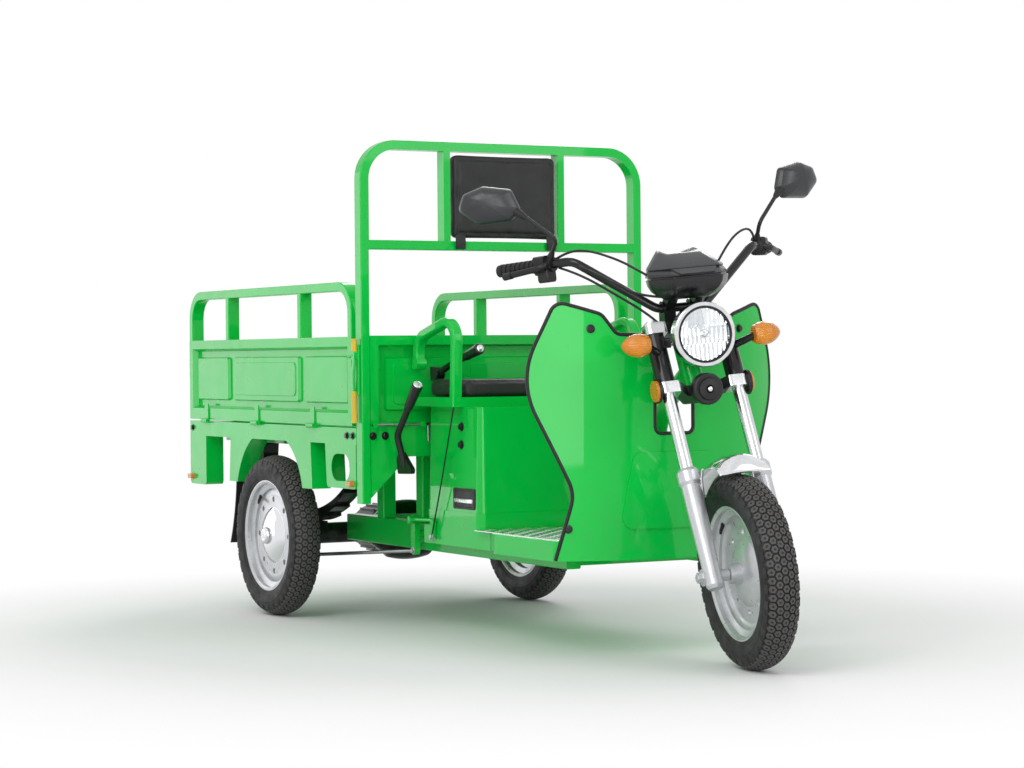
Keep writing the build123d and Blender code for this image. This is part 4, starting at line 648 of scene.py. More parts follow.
def drawn_bar(path, profile, over=(0, 0, 1)):
    """path + across * side + lift * top, where side is tangent x over and top is side x tangent."""
    path, profile = np.asarray(path, float), np.asarray(profile, float)
    tangent = unit(np.gradient(path, axis=0))
    side = unit(np.cross(tangent, np.broadcast_to(over, tangent.shape)))
    top = np.cross(side, tangent)
    across, lift = profile[None, :, :1], profile[None, :, 1:]
    return skin(path[:, None] + across * side[:, None] + lift * top[:, None])


def tapered_bar(path, profile, shares, over=(0, 0, 1)):
    """A drawn bar whose section is scaled by a share of its own at each point of the path."""
    points, faces = drawn_bar(path, profile, over)
    return path[:, None] + (points - path[:, None]) * np.reshape(shares, (-1, 1, 1)), faces


def circle(radius, sides=12):
    """A circle as (across, lift) pairs."""
    angle = round_turn(sides)
    return radius * np.stack([np.cos(angle), np.sin(angle)], -1)


def box_section(width, height, corner, steps=4):
    """A rounded rectangle as (across, lift) pairs: four quarter circles and straight sides."""
    angle = (np.arange(4)[:, None] * 90 + np.linspace(0, 90, steps)) * np.pi / 180
    quarter = corner * np.stack([np.cos(angle), np.sin(angle)], -1)
    centre = np.array([[1, 1], [-1, 1], [-1, -1], [1, -1]])
    centre = centre * [width / 2 - corner, height / 2 - corner]
    return (centre[:, None] + quarter).reshape(-1, 2)


print("bars ready")

# %% [markdown]
# ## The steering is turned
# The front wheel stands turned a little to the right. A piece that belongs to it is drawn straight
# ahead, where its sizes are easy to say, and then turned about the steering axis by the formula
# for a rotation about any axis, on the whole array at once.

# %% Turn with the steering
FRONT_X, TRAIL = 1097.5, 35
RAKE, TURN = np.radians(24.0), np.radians(-12.4)
STEER_AXIS = np.array([-np.sin(RAKE), 0, np.cos(RAKE)])
STEER_FOOT = np.array([FRONT_X - TRAIL * np.cos(RAKE), 0, HUB_Z - TRAIL * np.sin(RAKE)])


def spun(vectors):
    """v cos t + (k x v) sin t + k (k . v)(1 - cos t) about the steering axis k."""
    vectors = np.asarray(vectors, float)
    lengthwise = (vectors @ STEER_AXIS)[..., None] * STEER_AXIS
    turned_across = np.cross(STEER_AXIS, vectors) * np.sin(TURN)
    return vectors * np.cos(TURN) + turned_across + lengthwise * (1 - np.cos(TURN))


def steered(points):
    """Points drawn straight ahead, turned with the front wheel."""
    return STEER_FOOT + spun(np.asarray(points, float) - STEER_FOOT)


def steered_shape(shape):
    """A shape drawn straight ahead, turned with the front wheel."""
    return steered(shape[0]), shape[1]


front_hub, front_axle = steered([FRONT_X, 0, HUB_Z]), spun([0, 1, 0])
print("front hub at", front_hub.round(1), "axle", front_axle.round(3))

# %% [markdown]
# ## Fork and crank finishes
# On the real fork the yokes are black between two bright clamps, the upper tubes are polished and
# the sliders are painted silver. Yokes and tubes are one solid, so the finish finds the black part
# by its height along the steering axis and its way across, each a dot product with the Object
# coordinates. The brake crank is green like the frame and its rod is plain steel, told apart by how
# far forward they are.

# %% Fork and crank finishes
YOKES, CLAMPS_FROM = ((451.0, 481.0), (605.0, 635.0)), 62.0
CRANK_FROM = REAR_X + 546


def within(material, value, low, high, soft=0.0004):
    """1 where the value lies between low and high, 0 elsewhere."""
    return maths(material, "MULTIPLY", spread(material, value, 0, 1, low - soft, low),
                 spread(material, value, 1, 0, high, high + soft))


def measured(material, way):
    """Distance from the foot of the steering axis in the given direction, in metres."""
    place = place_of(material, centre=STEER_FOOT * MM)
    return maths(material, "DOT_PRODUCT", place, way, kind="VectorMath")


def on_yokes(material):
    """1 on either yoke, between its clamps."""
    rise, across = measured(material, STEER_AXIS), measured(material, front_axle)
    yokes = [within(material, rise, low * MM, high * MM) for low, high in YOKES]
    between = within(material, across, -CLAMPS_FROM * MM, CLAMPS_FROM * MM)
    return maths(material, "MULTIPLY", maths(material, "MAXIMUM", *yokes), between)


def on_crank(material):
    """1 on the crank, ahead of CRANK_FROM."""
    return within(material, along(material, place_of(material), "X"), CRANK_FROM * MM, 0.0)


def part_painted(name, metal, rough, paint, paint_rough, mask_of):
    """Bare metal with part of it painted: the mask chooses colour, metal and roughness."""
    material, shader = new_finish(name, metal, rough, Metallic=1.0)
    place, mask = place_of(material), mask_of(material)
    worn_metal = tuple(0.86 * c for c in metal)
    bare = blend_colours(material, patches(material, place, 24, 4), worn_metal, metal)
    roughness = maths(material, "ADD", spread(material, mask, rough, paint_rough, 0, 1),
                      patches(material, place, 40, 4, -0.05, 0.06))
    feed(material, shader, Base_Color=blend_colours(material, mask, bare, paint),
         Metallic=spread(material, mask, 1.0, 0.0, 0, 1), Roughness=roughness)
    raise_grain(material, shader, mottle(material, place, 500, 2), 0.00001)
    return material


fork_finish = part_painted("fork_tubes_and_yokes", (0.70, 0.71, 0.73), 0.2,
                           (0.010, 0.010, 0.011), 0.34, on_yokes)
crank_finish = part_painted("crank_and_rod", (0.42, 0.42, 0.43), 0.36,
                            (0.0, 0.45, 0.04), 0.28, on_crank)
for node, finish in (("fork_upper", fork_finish), ("fork_sliders", fork_silver),
                     ("brake_linkage", crank_finish)):
    frame["nodes"][node].data.materials[0] = finish
print("fork and crank painted")

# %% [markdown]
# ## Tyres with hexagon blocks
# The real tyres have small six-sided tread blocks parted by grooves, and a smooth wall with moulded
# rings. A bump map would leave the tread's edge round against the floor, so the blocks are real.
# The casing under them is a lathe shape, cut back to the bottom of the grooves.

# %% Tyre casing
TYRE_R, CROWN_R, CROWN_HALF, GROOVE = 229.0, 56.35, 50, 4.5
WALL_FOOT, WALL_MIDDLE, WALL_TOP = (36.6, 163.5), (42.6, 186), (37.2, 211.5)
WALL_RINGS, RING_HIGH, RING_WIDE = (171.0, 190.0, 199.0), 0.7, 1.3
BEADS = [[-35.0, 158], [-30, 154], [-29, 170], [0, 206], [29, 170], [30, 154], [35, 158]]
WALL_STEPS, FLOOR_STEPS, FLOOR_EDGE = 46, 25, 35.5


def crown(u):
    """Radius of the tread at u across it: a circle of CROWN_R through the middle."""
    return TYRE_R - CROWN_R + np.sqrt(CROWN_R**2 - np.minimum(np.abs(u), CROWN_HALF) ** 2)


def arc_through(a, m, b, steps):
    """Parabola from a through m, at its middle, to b."""
    a, m, b = (np.asarray(p, float) for p in (a, m, b))
    s = np.linspace(0, 1, steps)[:, None]
    return (1 - s) ** 2 * a + 2 * s * (1 - s) * (2 * m - (a + b) / 2) + s**2 * b


def casing_profile():
    """Closed (u, r) outline: walls with three moulded rings, the groove floor, and the beads."""
    wall = arc_through(WALL_FOOT, WALL_MIDDLE, WALL_TOP, WALL_STEPS)
    ring = sum(np.exp(-(((wall[:, 1] - r) / RING_WIDE) ** 2)) for r in WALL_RINGS)
    wall[:, 0] += RING_HIGH * ring
    floor_u = np.linspace(FLOOR_EDGE, -FLOOR_EDGE, FLOOR_STEPS)
    floor_line = np.stack([floor_u, crown(floor_u) - GROOVE], -1)
    return np.concatenate([wall, floor_line, wall[::-1] * [-1, 1], BEADS])


print("points round the casing:", len(casing_profile()))

# %% [markdown]
# ## Blocks and lugs
# One array holds all the blocks of a tyre, each a low hexagon with a small pit, whose top follows
# the crown. Over each shoulder lies a ring of oblong lugs. Both are worked out as places across the
# tread, round it and away from the axle, and only then bent round the wheel.

# %% Tread blocks and lugs
BLOCK_R, BLOCK_COLUMNS, ROWS_ROUND, SQUEEZE = 11.6, 5, 70, 0.86
BLOCK_SIZES = np.array([0.84, 0.81, 0.74, 0.33, 0.25])  # foot, edge, top, pit, pit floor
BLOCK_DROPS = np.array([GROOVE + 2.5, 0.9, 0.0, 0.0, 1.2])
LUG_U, LUG_R = np.array([39.2, 41.0, 42.2]), np.array([212.0, 205.5, 197.5])
LUG_HALF, LUG_DEEP, LUG_DROP, LUG_FLARE = 12.0, 3.0, 3.5, 0.12
LUG_FACES = [  # a corner's number is 4 * station + 2 * edge + level
    [0, 2, 6, 4], [4, 6, 10, 8], [0, 4, 5, 1], [4, 8, 9, 5], [2, 3, 7, 6], [6, 7, 11, 10],
    [0, 1, 3, 2], [8, 10, 11, 9], [1, 5, 7, 3], [5, 9, 11, 7]]


def tread_blocks():
    """Hexagons on (u, round) centres, every other column moved half a pitch: centre + size (cos,
    sin) of six corners, tops on the crown with a small pit, feet below the groove's floor."""
    columns = np.arange(BLOCK_COLUMNS) - BLOCK_COLUMNS // 2
    around, across = np.meshgrid(np.arange(ROWS_ROUND), columns, indexing="ij")
    turn = (around + 0.5 * (across % 2)) * 2 * np.pi / ROWS_ROUND
    corner = np.arange(6) * np.pi / 3
    size = (BLOCK_SIZES * BLOCK_R)[:, None]
    u = SQUEEZE * (1.5 * BLOCK_R * across[..., None, None] + size * np.cos(corner))
    a = turn[..., None, None] + size * np.sin(corner) / TYRE_R
    return u, a, crown(u) - BLOCK_DROPS[:, None]


def shoulder_lugs():
    """Half as many blocks over the shoulder: three stations down it, two edges, two levels."""
    count = ROWS_ROUND // 2
    turn = np.arange(count) * 2 * np.pi / count
    level, side = np.array([0.0, 1.0]), np.array([-1, 1])
    shape = (2, count, 3, 2, 2)
    u = side.reshape(2, 1, 1, 1, 1) * (LUG_U[:, None, None] - LUG_DEEP * level)
    r = LUG_R[:, None, None] - LUG_DROP * level
    half = side * LUG_HALF / TYRE_R
    a = turn[:, None, None, None] + half[:, None] * (1 + LUG_FLARE * level)
    return [np.broadcast_to(value, shape) for value in (u, a, r)]


def wheel_points(u, a, r, hub, axle):
    """hub + u * axle + r * (cos a, sin a) across the axle."""
    first, second = frame_about(axle)
    return (np.asarray(hub) + u[..., None] * axle
            + (r * np.cos(a))[..., None] * first + (r * np.sin(a))[..., None] * second)


def tyre_shapes(hub, axle):
    """Casing, hexagon blocks and shoulder lugs of one tyre."""
    casing = lathe(casing_profile(), hub, axle, sides=120, close=True)
    blocks = wheel_points(*tread_blocks(), hub, axle)
    levels, each = blocks.shape[2], blocks.shape[2] * 6
    count = BLOCK_COLUMNS * ROWS_ROUND
    walls = repeated(grid_faces(levels, 6), each, count)
    tops = repeated([np.arange(each - 6, each)], each, count)
    lugs = wheel_points(*shoulder_lugs(), hub, axle)
    return [casing, (blocks, [walls, tops]), (lugs, [repeated(LUG_FACES, 12, ROWS_ROUND)])]


print("blocks on each tyre:", BLOCK_COLUMNS * ROWS_ROUND)

# %% [markdown]
# ## Painted highlight on the treads
# The tops of the blocks are painted a lighter grey as a highlight, against the black of the
# grooves.
# So the mesh carries a number for each point, 1 on top and 0 in a groove, and the rubber's finish
# turns that number into the painted highlight grey.

# %% Painted highlight on the treads
SIDE_AXLE, HALF_TRACK = np.array([0.0, 1, 0]), 411
WHEELS = (  # body, hub, axle, side of the valve
    ("front_wheel", front_hub, front_axle, -1),
    ("rear_wheel_right", np.array([REAR_X, -HALF_TRACK, HUB_Z]), SIDE_AXLE, -1),
    ("rear_wheel_left", np.array([REAR_X, HALF_TRACK, HUB_Z]), SIDE_AXLE, 1))
# painted highlight: share of lighter grey on each row of a block (foot, edge, top, pit, pit floor)
# and on the lugs
HIGHLIGHT_ROWS, HIGHLIGHT_LUGS = (0.0, 0.8, 1.0, 1.0, 0.1), (0.12, 0.0)
HIGHLIGHT_GREY = (0.076, 0.073, 0.071)


def paint_tread_highlight(material):
    """Blends the rubber's colour towards a painted highlight grey by the mesh's own attribute."""
    colour = material.node_tree.nodes["Principled BSDF"].inputs["Base Color"]
    tread_highlight = add_node(material, "ShaderNodeAttribute", attribute_name="tread_highlight").outputs["Fac"]
    give(material, colour, blend_colours(material, tread_highlight, colour.links[0].from_socket, HIGHLIGHT_GREY))


def mark_tread_highlight(piece):
    """Stores how much painted highlight each point takes: casing 0, then the rows of the blocks,
    then the lugs.
    """
    blocks = np.tile(np.repeat(HIGHLIGHT_ROWS, 6), BLOCK_COLUMNS * ROWS_ROUND)
    lugs = np.tile(HIGHLIGHT_LUGS, 6 * ROWS_ROUND)
    casing = np.zeros(len(piece.data.vertices) - len(blocks) - len(lugs))
    tread_highlight = piece.data.attributes.new("tread_highlight", "FLOAT", "POINT")
    tread_highlight.data.foreach_set("value", np.concatenate([casing, blocks, lugs]))


# the tyre rubber takes a painted highlight grey on its block tops
paint_tread_highlight(tyre_rubber)
for body, hub, axle, _ in WHEELS:
    name, node = (body.replace("wheel", word) for word in ("treaded_tyre", "tyre"))
    tyre = make_piece(name, tyre_shapes(hub, axle), tyre_rubber, body)
    mark_tread_highlight(tyre)
    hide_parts(node)

# %% [markdown]
# ## Foam
# The bench and the back pad are foam in black leatherette. Foam swells against its cover, so each
# pad starts a little small, is remeshed evenly, and is blown up by Blender's cloth solver with
# pressure and no gravity; a cap keeps it in its place.

# %% Swell a pad
VOXEL, PRESSURE, FRAMES, LARGEST_MOVE = 0.005, 4.0, 20, 0.006
STRETCH_STIFF, BEND_STIFF = 25, 2


def slab(low, high, axis, squareness, edge, rows=25, columns=96):
    """Rounded box cos^p v cos^q w, cos^p v sin^q w, sin^p v, scaled to size, thin on axis."""
    def power(value, p):
        return np.sign(value) * np.abs(value) ** p

    v = np.linspace(-np.pi / 2, np.pi / 2, rows)[:, None]
    w = round_turn(columns)[None]
    first = power(np.cos(v), edge) * power(np.cos(w), squareness)
    second = power(np.cos(v), edge) * power(np.sin(w), squareness)
    third = power(np.sin(v), edge) * np.ones_like(w)
    ball = np.roll(np.stack([first, second, third], -1), axis + 1, -1)
    return (low + high) / 2 + ball * (high - low) / 2, [grid_faces(rows, columns)]


def corners_of(mesh):
    """A mesh's points as one array."""
    flat = np.empty(3 * len(mesh.vertices), np.float32)
    mesh.vertices.foreach_get("co", flat)
    return flat.reshape(-1, 3)


def swollen(piece):
    """The pad's points before and after the cloth solver, each moved at most LARGEST_MOVE."""
    remesh = piece.modifiers.new("even", "REMESH")
    remesh.mode, remesh.voxel_size = "VOXEL", VOXEL
    graph = bpy.context.evaluated_depsgraph_get()
    even = bpy.data.meshes.new_from_object(piece.evaluated_get(graph))
    piece.modifiers.clear()
    even.materials.clear()
    even.materials.append(piece.data.materials[0])
    piece.data = even
    start = corners_of(even)
    cloth = piece.modifiers.new("foam", "CLOTH")
    foam = cloth.settings
    foam.use_pressure, foam.uniform_pressure_force = True, PRESSURE
    foam.effector_weights.gravity = 0
    foam.tension_stiffness = foam.compression_stiffness = STRETCH_STIFF
    foam.bending_stiffness = BEND_STIFF
    cloth.point_cache.frame_start, cloth.point_cache.frame_end = 1, FRAMES
    for number in range(1, FRAMES + 1):
        bpy.context.scene.frame_set(number)
    blown = piece.evaluated_get(bpy.context.evaluated_depsgraph_get()).to_mesh()
    move = corners_of(blown) - start
    piece.modifiers.clear()
    bpy.context.scene.frame_set(1)
    length = np.linalg.norm(move, axis=1, keepdims=True)
    return start, start + move * np.minimum(1, LARGEST_MOVE / np.maximum(length, 1e-9))


print("foam ready, frames:", FRAMES)

# %% [markdown]
# ## Upholstery
# The cover is sewn down along a border on the side that shows. This groove is pressed in after the
# foam has swollen, because remeshing would erase so narrow a line, and it puckers a little between
# one stitch and the next.

# %% Cover the pads
SEAM_WIDE, PUCKER, PUCKER_PITCH = 0.004, 0.35, 0.0085
SQUARENESS, PAD_ROOM = 0.1, 2


def upholster(name, node, axis, shrink, seam_in, seam_deep, edge):
    """A pad in its node's box: blown up, kept in the box, sewn down at seam_in from its edge by
    seam_deep * exp(-((d - seam_in) / SEAM_WIDE)^2), d the distance from the nearest edge."""
    low, high = (np.array(corner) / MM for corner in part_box(node))
    pad = slab(low + shrink, high - shrink, axis, SQUARENESS, edge)
    piece = make_piece(name, pad, leatherette, "chassis", crisp=180)
    start, shape = swollen(piece)
    flat = [i for i in range(3) if i != axis]
    from_edge = np.minimum(shape[:, flat] - low[flat] * MM, high[flat] * MM - shape[:, flat]).min(1)
    shown = shape[:, axis] - (low[axis] + high[axis]) / 2 * MM > 0
    seam = seam_deep * np.exp(-(((from_edge - seam_in) / SEAM_WIDE) ** 2)) * shown
    shape[:, axis] -= seam * (1 + PUCKER * np.sin(shape[:, flat].sum(axis=1) / PUCKER_PITCH))
    inside = np.clip(shape, (low - PAD_ROOM) * MM, (high + PAD_ROOM) * MM)
    inside[:, axis] = np.maximum(inside[:, axis], low[axis] * MM)
    piece.data.vertices.foreach_set("co", inside.astype(np.float32).ravel())
    piece.data.polygons.foreach_set("use_smooth", np.ones(len(piece.data.polygons), bool))
    smooth = piece.modifiers.new("cover", "SUBSURF")
    smooth.levels = smooth.render_levels = 1
    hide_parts(node)
    largest = float(np.abs(inside - start).max() / MM)
    print(name, "points:", len(inside), "largest move in mm:", round(largest, 1))
    return low, high


upholster("bench_cushion", "seat_cushion", axis=2, shrink=3.0, seam_in=0.014, seam_deep=0.003,
          edge=0.14)
back_low, back_high = upholster("backrest_pad", "back_pad", axis=0, shrink=4.0, seam_in=0.022,
                                seam_deep=0.004, edge=0.22)

# %% [markdown]
# ## Stitches and tabs
# A row of thread runs in the sewn groove of the back pad, and two short leatherette tabs hold its
# lower corners to the bar. A stitch is a short lens: one small shape, repeated along the border by
# adding an array of places to an array of corners.

# %% Stitches and tabs
STITCH_IN, STITCH_PITCH, STITCH_SUNK, STITCH_LONG, STITCH_THICK = 22, 6.0, 3.2, 2.3, 0.7
STITCH_FACES = [  # corners 0 and 1 are the tips, and 2 to 5 go round the waist
    [0, 2, 3], [0, 3, 4], [0, 4, 5], [0, 5, 2], [1, 3, 2], [1, 4, 3], [1, 5, 4], [1, 2, 5]]
TAB_IN = 26


def run_lengths(path):
    """Distance from the start of a line to each of its points."""
    return np.concatenate([[0], np.cumsum(np.linalg.norm(np.diff(path, axis=0), axis=1))])


def points_along(path, at):
    """Points of a line at the given distances from its start."""
    return np.stack([np.interp(at, run_lengths(path), column) for column in path.T], -1)


def border_places(low, high, pitch):
    """Places and headings along the sides of a rectangle, at one pitch."""
    (y0, z0), (y1, z1) = low, high
    corners = np.array([[y0, z0], [y1, z0], [y1, z1], [y0, z1], [y0, z0]], float)
    length = run_lengths(corners)
    at = np.arange(pitch / 2, length[-1], pitch)
    run = np.clip(np.searchsorted(length, at, side="right") - 1, 0, 3)
    return points_along(corners, at), unit(np.diff(corners, axis=0))[run]


def stitch_row(places, heading, depth_at):
    """Small double pyramids, two tips and four points round the waist: place + run * heading +
    waist * across, at each place."""
    waist = np.array([[0, 0], [0, 0], [0, 1], [1, 0], [0, -1], [-1, 0]]) * STITCH_THICK
    run = np.array([-1, 1, 0, 0, 0, 0])[:, None] * STITCH_LONG
    across = np.stack([-heading[:, 1], heading[:, 0]], -1)
    points = np.zeros((len(places), 6, 3))
    points[..., 0] = depth_at + waist[:, 0]
    points[..., 1:] = places[:, None] + run * heading[:, None] + waist[:, 1:] * across[:, None]
    return points, [repeated(STITCH_FACES, 6, len(places))]


thread = moulded("grey_thread", (0.05, 0.05, 0.05), (0.09, 0.09, 0.09), (0.6, 0.8), (900, 0.0001))
border = border_places(back_low[1:] + STITCH_IN, back_high[1:] - STITCH_IN, STITCH_PITCH)
stitches = stitch_row(*border, back_high[0] - STITCH_SUNK)
make_piece("backrest_stitches", stitches, thread, "chassis", crisp=180)


def pad_tab(y):
    """A strap from the pad's face over its lower edge and down to the bar."""
    face, foot = back_high[0], back_low[2]
    path = round_bends([[face - 3, y, foot + 16], [face + 0.5, y, foot - 4],
                        [face - 1.5, y, foot - 22]], 8)
    return drawn_bar(path, box_section(30, 5, 2), over=(1, 0, 0))


tabs = [pad_tab(y) for y in (back_low[1] + TAB_IN, back_high[1] - TAB_IN)]
make_piece("backrest_tabs", tabs, leatherette, "chassis")

# %% [markdown]
# ## Edge rubber of the leg shield
# A soft rubber bead is pushed over the raw edge of the shield all the way round, and round the slot
# for the steering. The outline is the one the sheet was cut to: straight runs between corners of
# known radius, laid on the upright cylinder that the sheet is bent to.

# %% Shield edge rubber
SHIELD_R, SHIELD_X = 634.14, REAR_X + 1482
SHEET_MIDDLE, BEAD_R, BEAD_STEP = 1.5, 4.6, 7.0
HALF_EDGE = np.array([  # half width, height, corner radius, from the foot round to the slot
    (296, 242, 0), (253, 403, 90), (371, 676, 225), (292, 867, 26), (188, 835, 30), (152, 786, 22),
    (55, 784, 8), (55, 545, 16)], float)
SHIELD_EDGE = np.concatenate([HALF_EDGE, HALF_EDGE[::-1] * [-1, 1, 1]])


def cut_outline(corners, steps=14):
    """Runs joined by true arcs: a and b are the arc's ends seen from its centre, and the arc is
    (sin((1-s)t) a + sin(s t) b) / sin t, where t is the angle between them."""
    at, radius = corners[:, :2], corners[1:-1, 2:]
    back, on = unit(at[:-2] - at[1:-1]), unit(at[2:] - at[1:-1])
    half = np.arccos(np.clip((back * on).sum(1, keepdims=True), -1, 1)) / 2
    reach = radius / np.tan(half)
    centre = at[1:-1] + unit(back + on) * radius / np.sin(half)
    a, b = at[1:-1] + back * reach - centre, at[1:-1] + on * reach - centre
    s, t = np.linspace(0, 1, steps)[None, :, None], (np.pi - 2 * half)[:, None]
    bend = (np.sin((1 - s) * t) * a[:, None] + np.sin(s * t) * b[:, None]) / np.sin(t)
    return np.concatenate([at[:1], (centre[:, None] + bend).reshape(-1, 2), at[-1:]])


def even_steps(path, step):
    """The same line, with points at one spacing."""
    total = run_lengths(path)[-1]
    return points_along(path, np.linspace(0, total, int(total / step) + 1))


def on_shield(outline, depth):
    """Half width and height laid on the cylinder, that deep, and the cylinder's normal there."""
    y, z = outline[:, 0], outline[:, 1]
    normal = np.stack([np.sqrt(SHIELD_R**2 - y**2), y, 0 * y], -1) / SHIELD_R
    axis = np.stack([np.full_like(y, SHIELD_X - SHIELD_R), 0 * y, z], -1)
    return axis + normal * (SHIELD_R - depth), normal


edge, edge_normal = on_shield(even_steps(cut_outline(SHIELD_EDGE), BEAD_STEP), SHEET_MIDDLE)
bead = drawn_bar(edge, circle(BEAD_R, 14), over=edge_normal)
make_piece("shield_edge_rubber", bead, trim_rubber, "chassis")

# %% [markdown]
# ## Bolts
# Hexagon heads with a washer hold the shield, the seat box and the bed. One head is a lathe shape
# whose radius, on the six-sided rows, is R cos 30 / cos(a mod 60 - 30). All heads of one finish are
# a single array: one shape moved along rows of places and axes.

# %% Bolts
HEAD_SIDES = 12
HEAD_ROWS = np.array([  # height and radius in head sizes, and 1 where the row is six-sided
    (0.0, 1.38, 0), (0.16, 1.38, 0), (0.20, 1.30, 0), (0.20, 1.0, 1), (0.78, 1.0, 1),
    (0.90, 0.86, 1), (0.92, 0.0, 0)])
WALL_FACE, BED_SIDE, BOLT_Z = REAR_X + 626, -436.0, 527
BOX_X = REAR_X + 848
SHIELD_SPOTS = np.array([[-268.0, 318], [268, 318], [-214, 800], [214, 800]])


def bolt_heads(places, axes, size):
    """Washer and head: place + rise * axis + r(a) (cos a, sin a) across it, at each place."""
    places, axes = np.asarray(places, float), unit(np.broadcast_to(axes, np.shape(places)))
    angle = round_turn(HEAD_SIDES)
    six = np.cos(np.pi / 6) / np.cos(angle % (np.pi / 3) - np.pi / 6)
    radius = size * HEAD_ROWS[:, 1:2] * np.where(HEAD_ROWS[:, 2:] > 0, six, 1.0)
    first, second = (way[:, None, None] for way in frame_about(axes))
    ring = np.cos(angle)[:, None] * first + np.sin(angle)[:, None] * second
    rise = size * HEAD_ROWS[:, 0][:, None, None] * axes[:, None, None]
    points = places[:, None, None] + rise + radius[..., None] * ring
    one = grid_faces(len(HEAD_ROWS), HEAD_SIDES)
    return points, [repeated(one, len(HEAD_ROWS) * HEAD_SIDES, len(places))]


def both_sides(places):
    """Places on the right, and the same on the left."""
    places = np.asarray(places, float)
    return np.concatenate([places, places * [1, -1, 1]])


def outward(places):
    """The way out to the side at each place."""
    return np.sign(places[:, 1:2]) * [[0, 1.0, 0]]


front_bolts = both_sides([[WALL_FACE, y, BOLT_Z] for y in (-405, -369)])
side_bolts = both_sides([[REAR_X + ahead, BED_SIDE, BOLT_Z] for ahead in (530, 566, -585)])
box_bolts = both_sides([[BOX_X, -254.0, 553], [BOX_X, -255.0, 506]])
black_bolts = [bolt_heads(front_bolts, (1, 0, 0), 8.0),
               bolt_heads(side_bolts, outward(side_bolts), 7.5),
               bolt_heads(box_bolts, outward(box_bolts), 9.0)]
make_piece("black_bolts", black_bolts, black_enamel, "chassis")
shield_bolts = bolt_heads(*on_shield(SHIELD_SPOTS, 0), 8.0)
make_piece("shield_bolts", shield_bolts, black_enamel, "chassis")

# %% [markdown]
# ## Gate latches
# Each side gate is held at its front end by an over-centre latch on the headboard's leg: a folded
# bracket, a green lever and grips dipped in yellow. The gate swings past beside it, so the hook
# stops just short of the gate's end. At the rear corner a wire loop is ready for the tail gate's
# chain.

# %% Gate latches
SIDES = (("right", -1), ("left", 1))
LATCH_X, LATCH_OUT = REAR_X + 606, 436.0
LOOP_X, LOOP_OUT = REAR_X - 608, 430.0


def latch_parts(s):
    """Bracket, ear, lever and hook, and the two grips, of one latch on side s: all drawn bars."""
    def at(ahead, out, z):
        return [LATCH_X + ahead, s * (LATCH_OUT + out), z]

    out_way = (0, s, 0)
    bracket = drawn_bar([at(0, 3.5, 636), at(0, 3.5, 700), at(0, 3.5, 770)],
                        box_section(24, 7, 2), out_way)
    ear = drawn_bar([at(0, 6, 742), at(0, 12, 742), at(0, 17, 742)], box_section(18, 26, 5))
    lever_path = [at(0, 13, 778), at(0, 13, 722), at(-4, 15, 690), at(-6, 12, 640), at(-4, 11, 566)]
    lever = drawn_bar(round_bends(lever_path, 14), box_section(15, 6, 2.4), out_way)
    hook_path = [at(-2, 14, 742), at(-20, 15, 740), at(-38, 9, 738)]
    hook = drawn_bar(round_bends(hook_path, 8), circle(4.2, 10))
    low_grip = drawn_bar([at(-6, 12, 646), at(-5, 11.6, 610), at(-4, 11.2, 575), at(-4, 11, 562)],
                         box_section(20, 11, 4), out_way)
    top_grip = drawn_bar([at(0, 13, 752), at(0, 13, 770), at(0, 13, 786)],
                         box_section(19, 11, 4), out_way)
    return [bracket, ear, lever, hook], [low_grip, top_grip]


def wire_loop(s):
    """A wire ring that stands out behind the rear end of a side gate."""
    corners = [[LOOP_X + ahead, s * LOOP_OUT, z]
               for ahead, z in ((3, 742), (-11, 742), (-11, 676), (3, 676))]
    return drawn_bar(round_bends(corners, 9), circle(2.3, 10), over=(0, 1, 0))


(right_green, right_grips), (left_green, left_grips) = (latch_parts(s) for _, s in SIDES)
make_piece("gate_latches", right_green + left_green, green_enamel, "chassis")
make_piece("latch_grips", right_grips + left_grips, yellow_pvc, "chassis")
for side, s in SIDES:
    make_piece("wire_loop_" + side, wire_loop(s), steel, "gate_" + side)

# %% [markdown]
# ## Tread plate
# The floor is covered with aluminium plate rolled with raised lozenges in two directions. Each
# lozenge is a low lens of a few faces; a grid of places, every other one turned a quarter, gives
# the pattern. Places under the shield or in the middle, where the frame passes, are left out.

# %% Tread plate lozenges
PITCH, SHIELD_ROOM, MIDDLE_ROOM = 26.0, 34, 46
BACK_ROOM, FRONT_ROOM, RIGHT_ROOM, LEFT_ROOM = 18, 60, 16, 14
LENS = np.array(  # two ends and two sides on the plate, then the two ends of the ridge
    [[-10.5, 0, 0], [0, -3.2, 0], [10.5, 0, 0], [0, 3.2, 0], [-5, 0, 1.5], [5, 0, 1.5]])
LENS_FACES = ([0, 1, 4], [1, 2, 5, 4], [2, 3, 5], [3, 0, 4, 5], [3, 2, 1, 0])


def lozenges(spots, heading, level):
    """The lens turned by each heading h, x cos h - y sin h and x sin h + y cos h, at each spot."""
    x, y, z = LENS.T
    lens_x = x * np.cos(heading) - y * np.sin(heading) + spots[:, :1]
    lens_y = x * np.sin(heading) + y * np.cos(heading) + spots[:, 1:]
    lens_z = np.broadcast_to(level + z, lens_x.shape)
    faces = [repeated([face], len(LENS), len(spots)) for face in LENS_FACES]
    return np.stack([lens_x, lens_y, lens_z], -1), faces


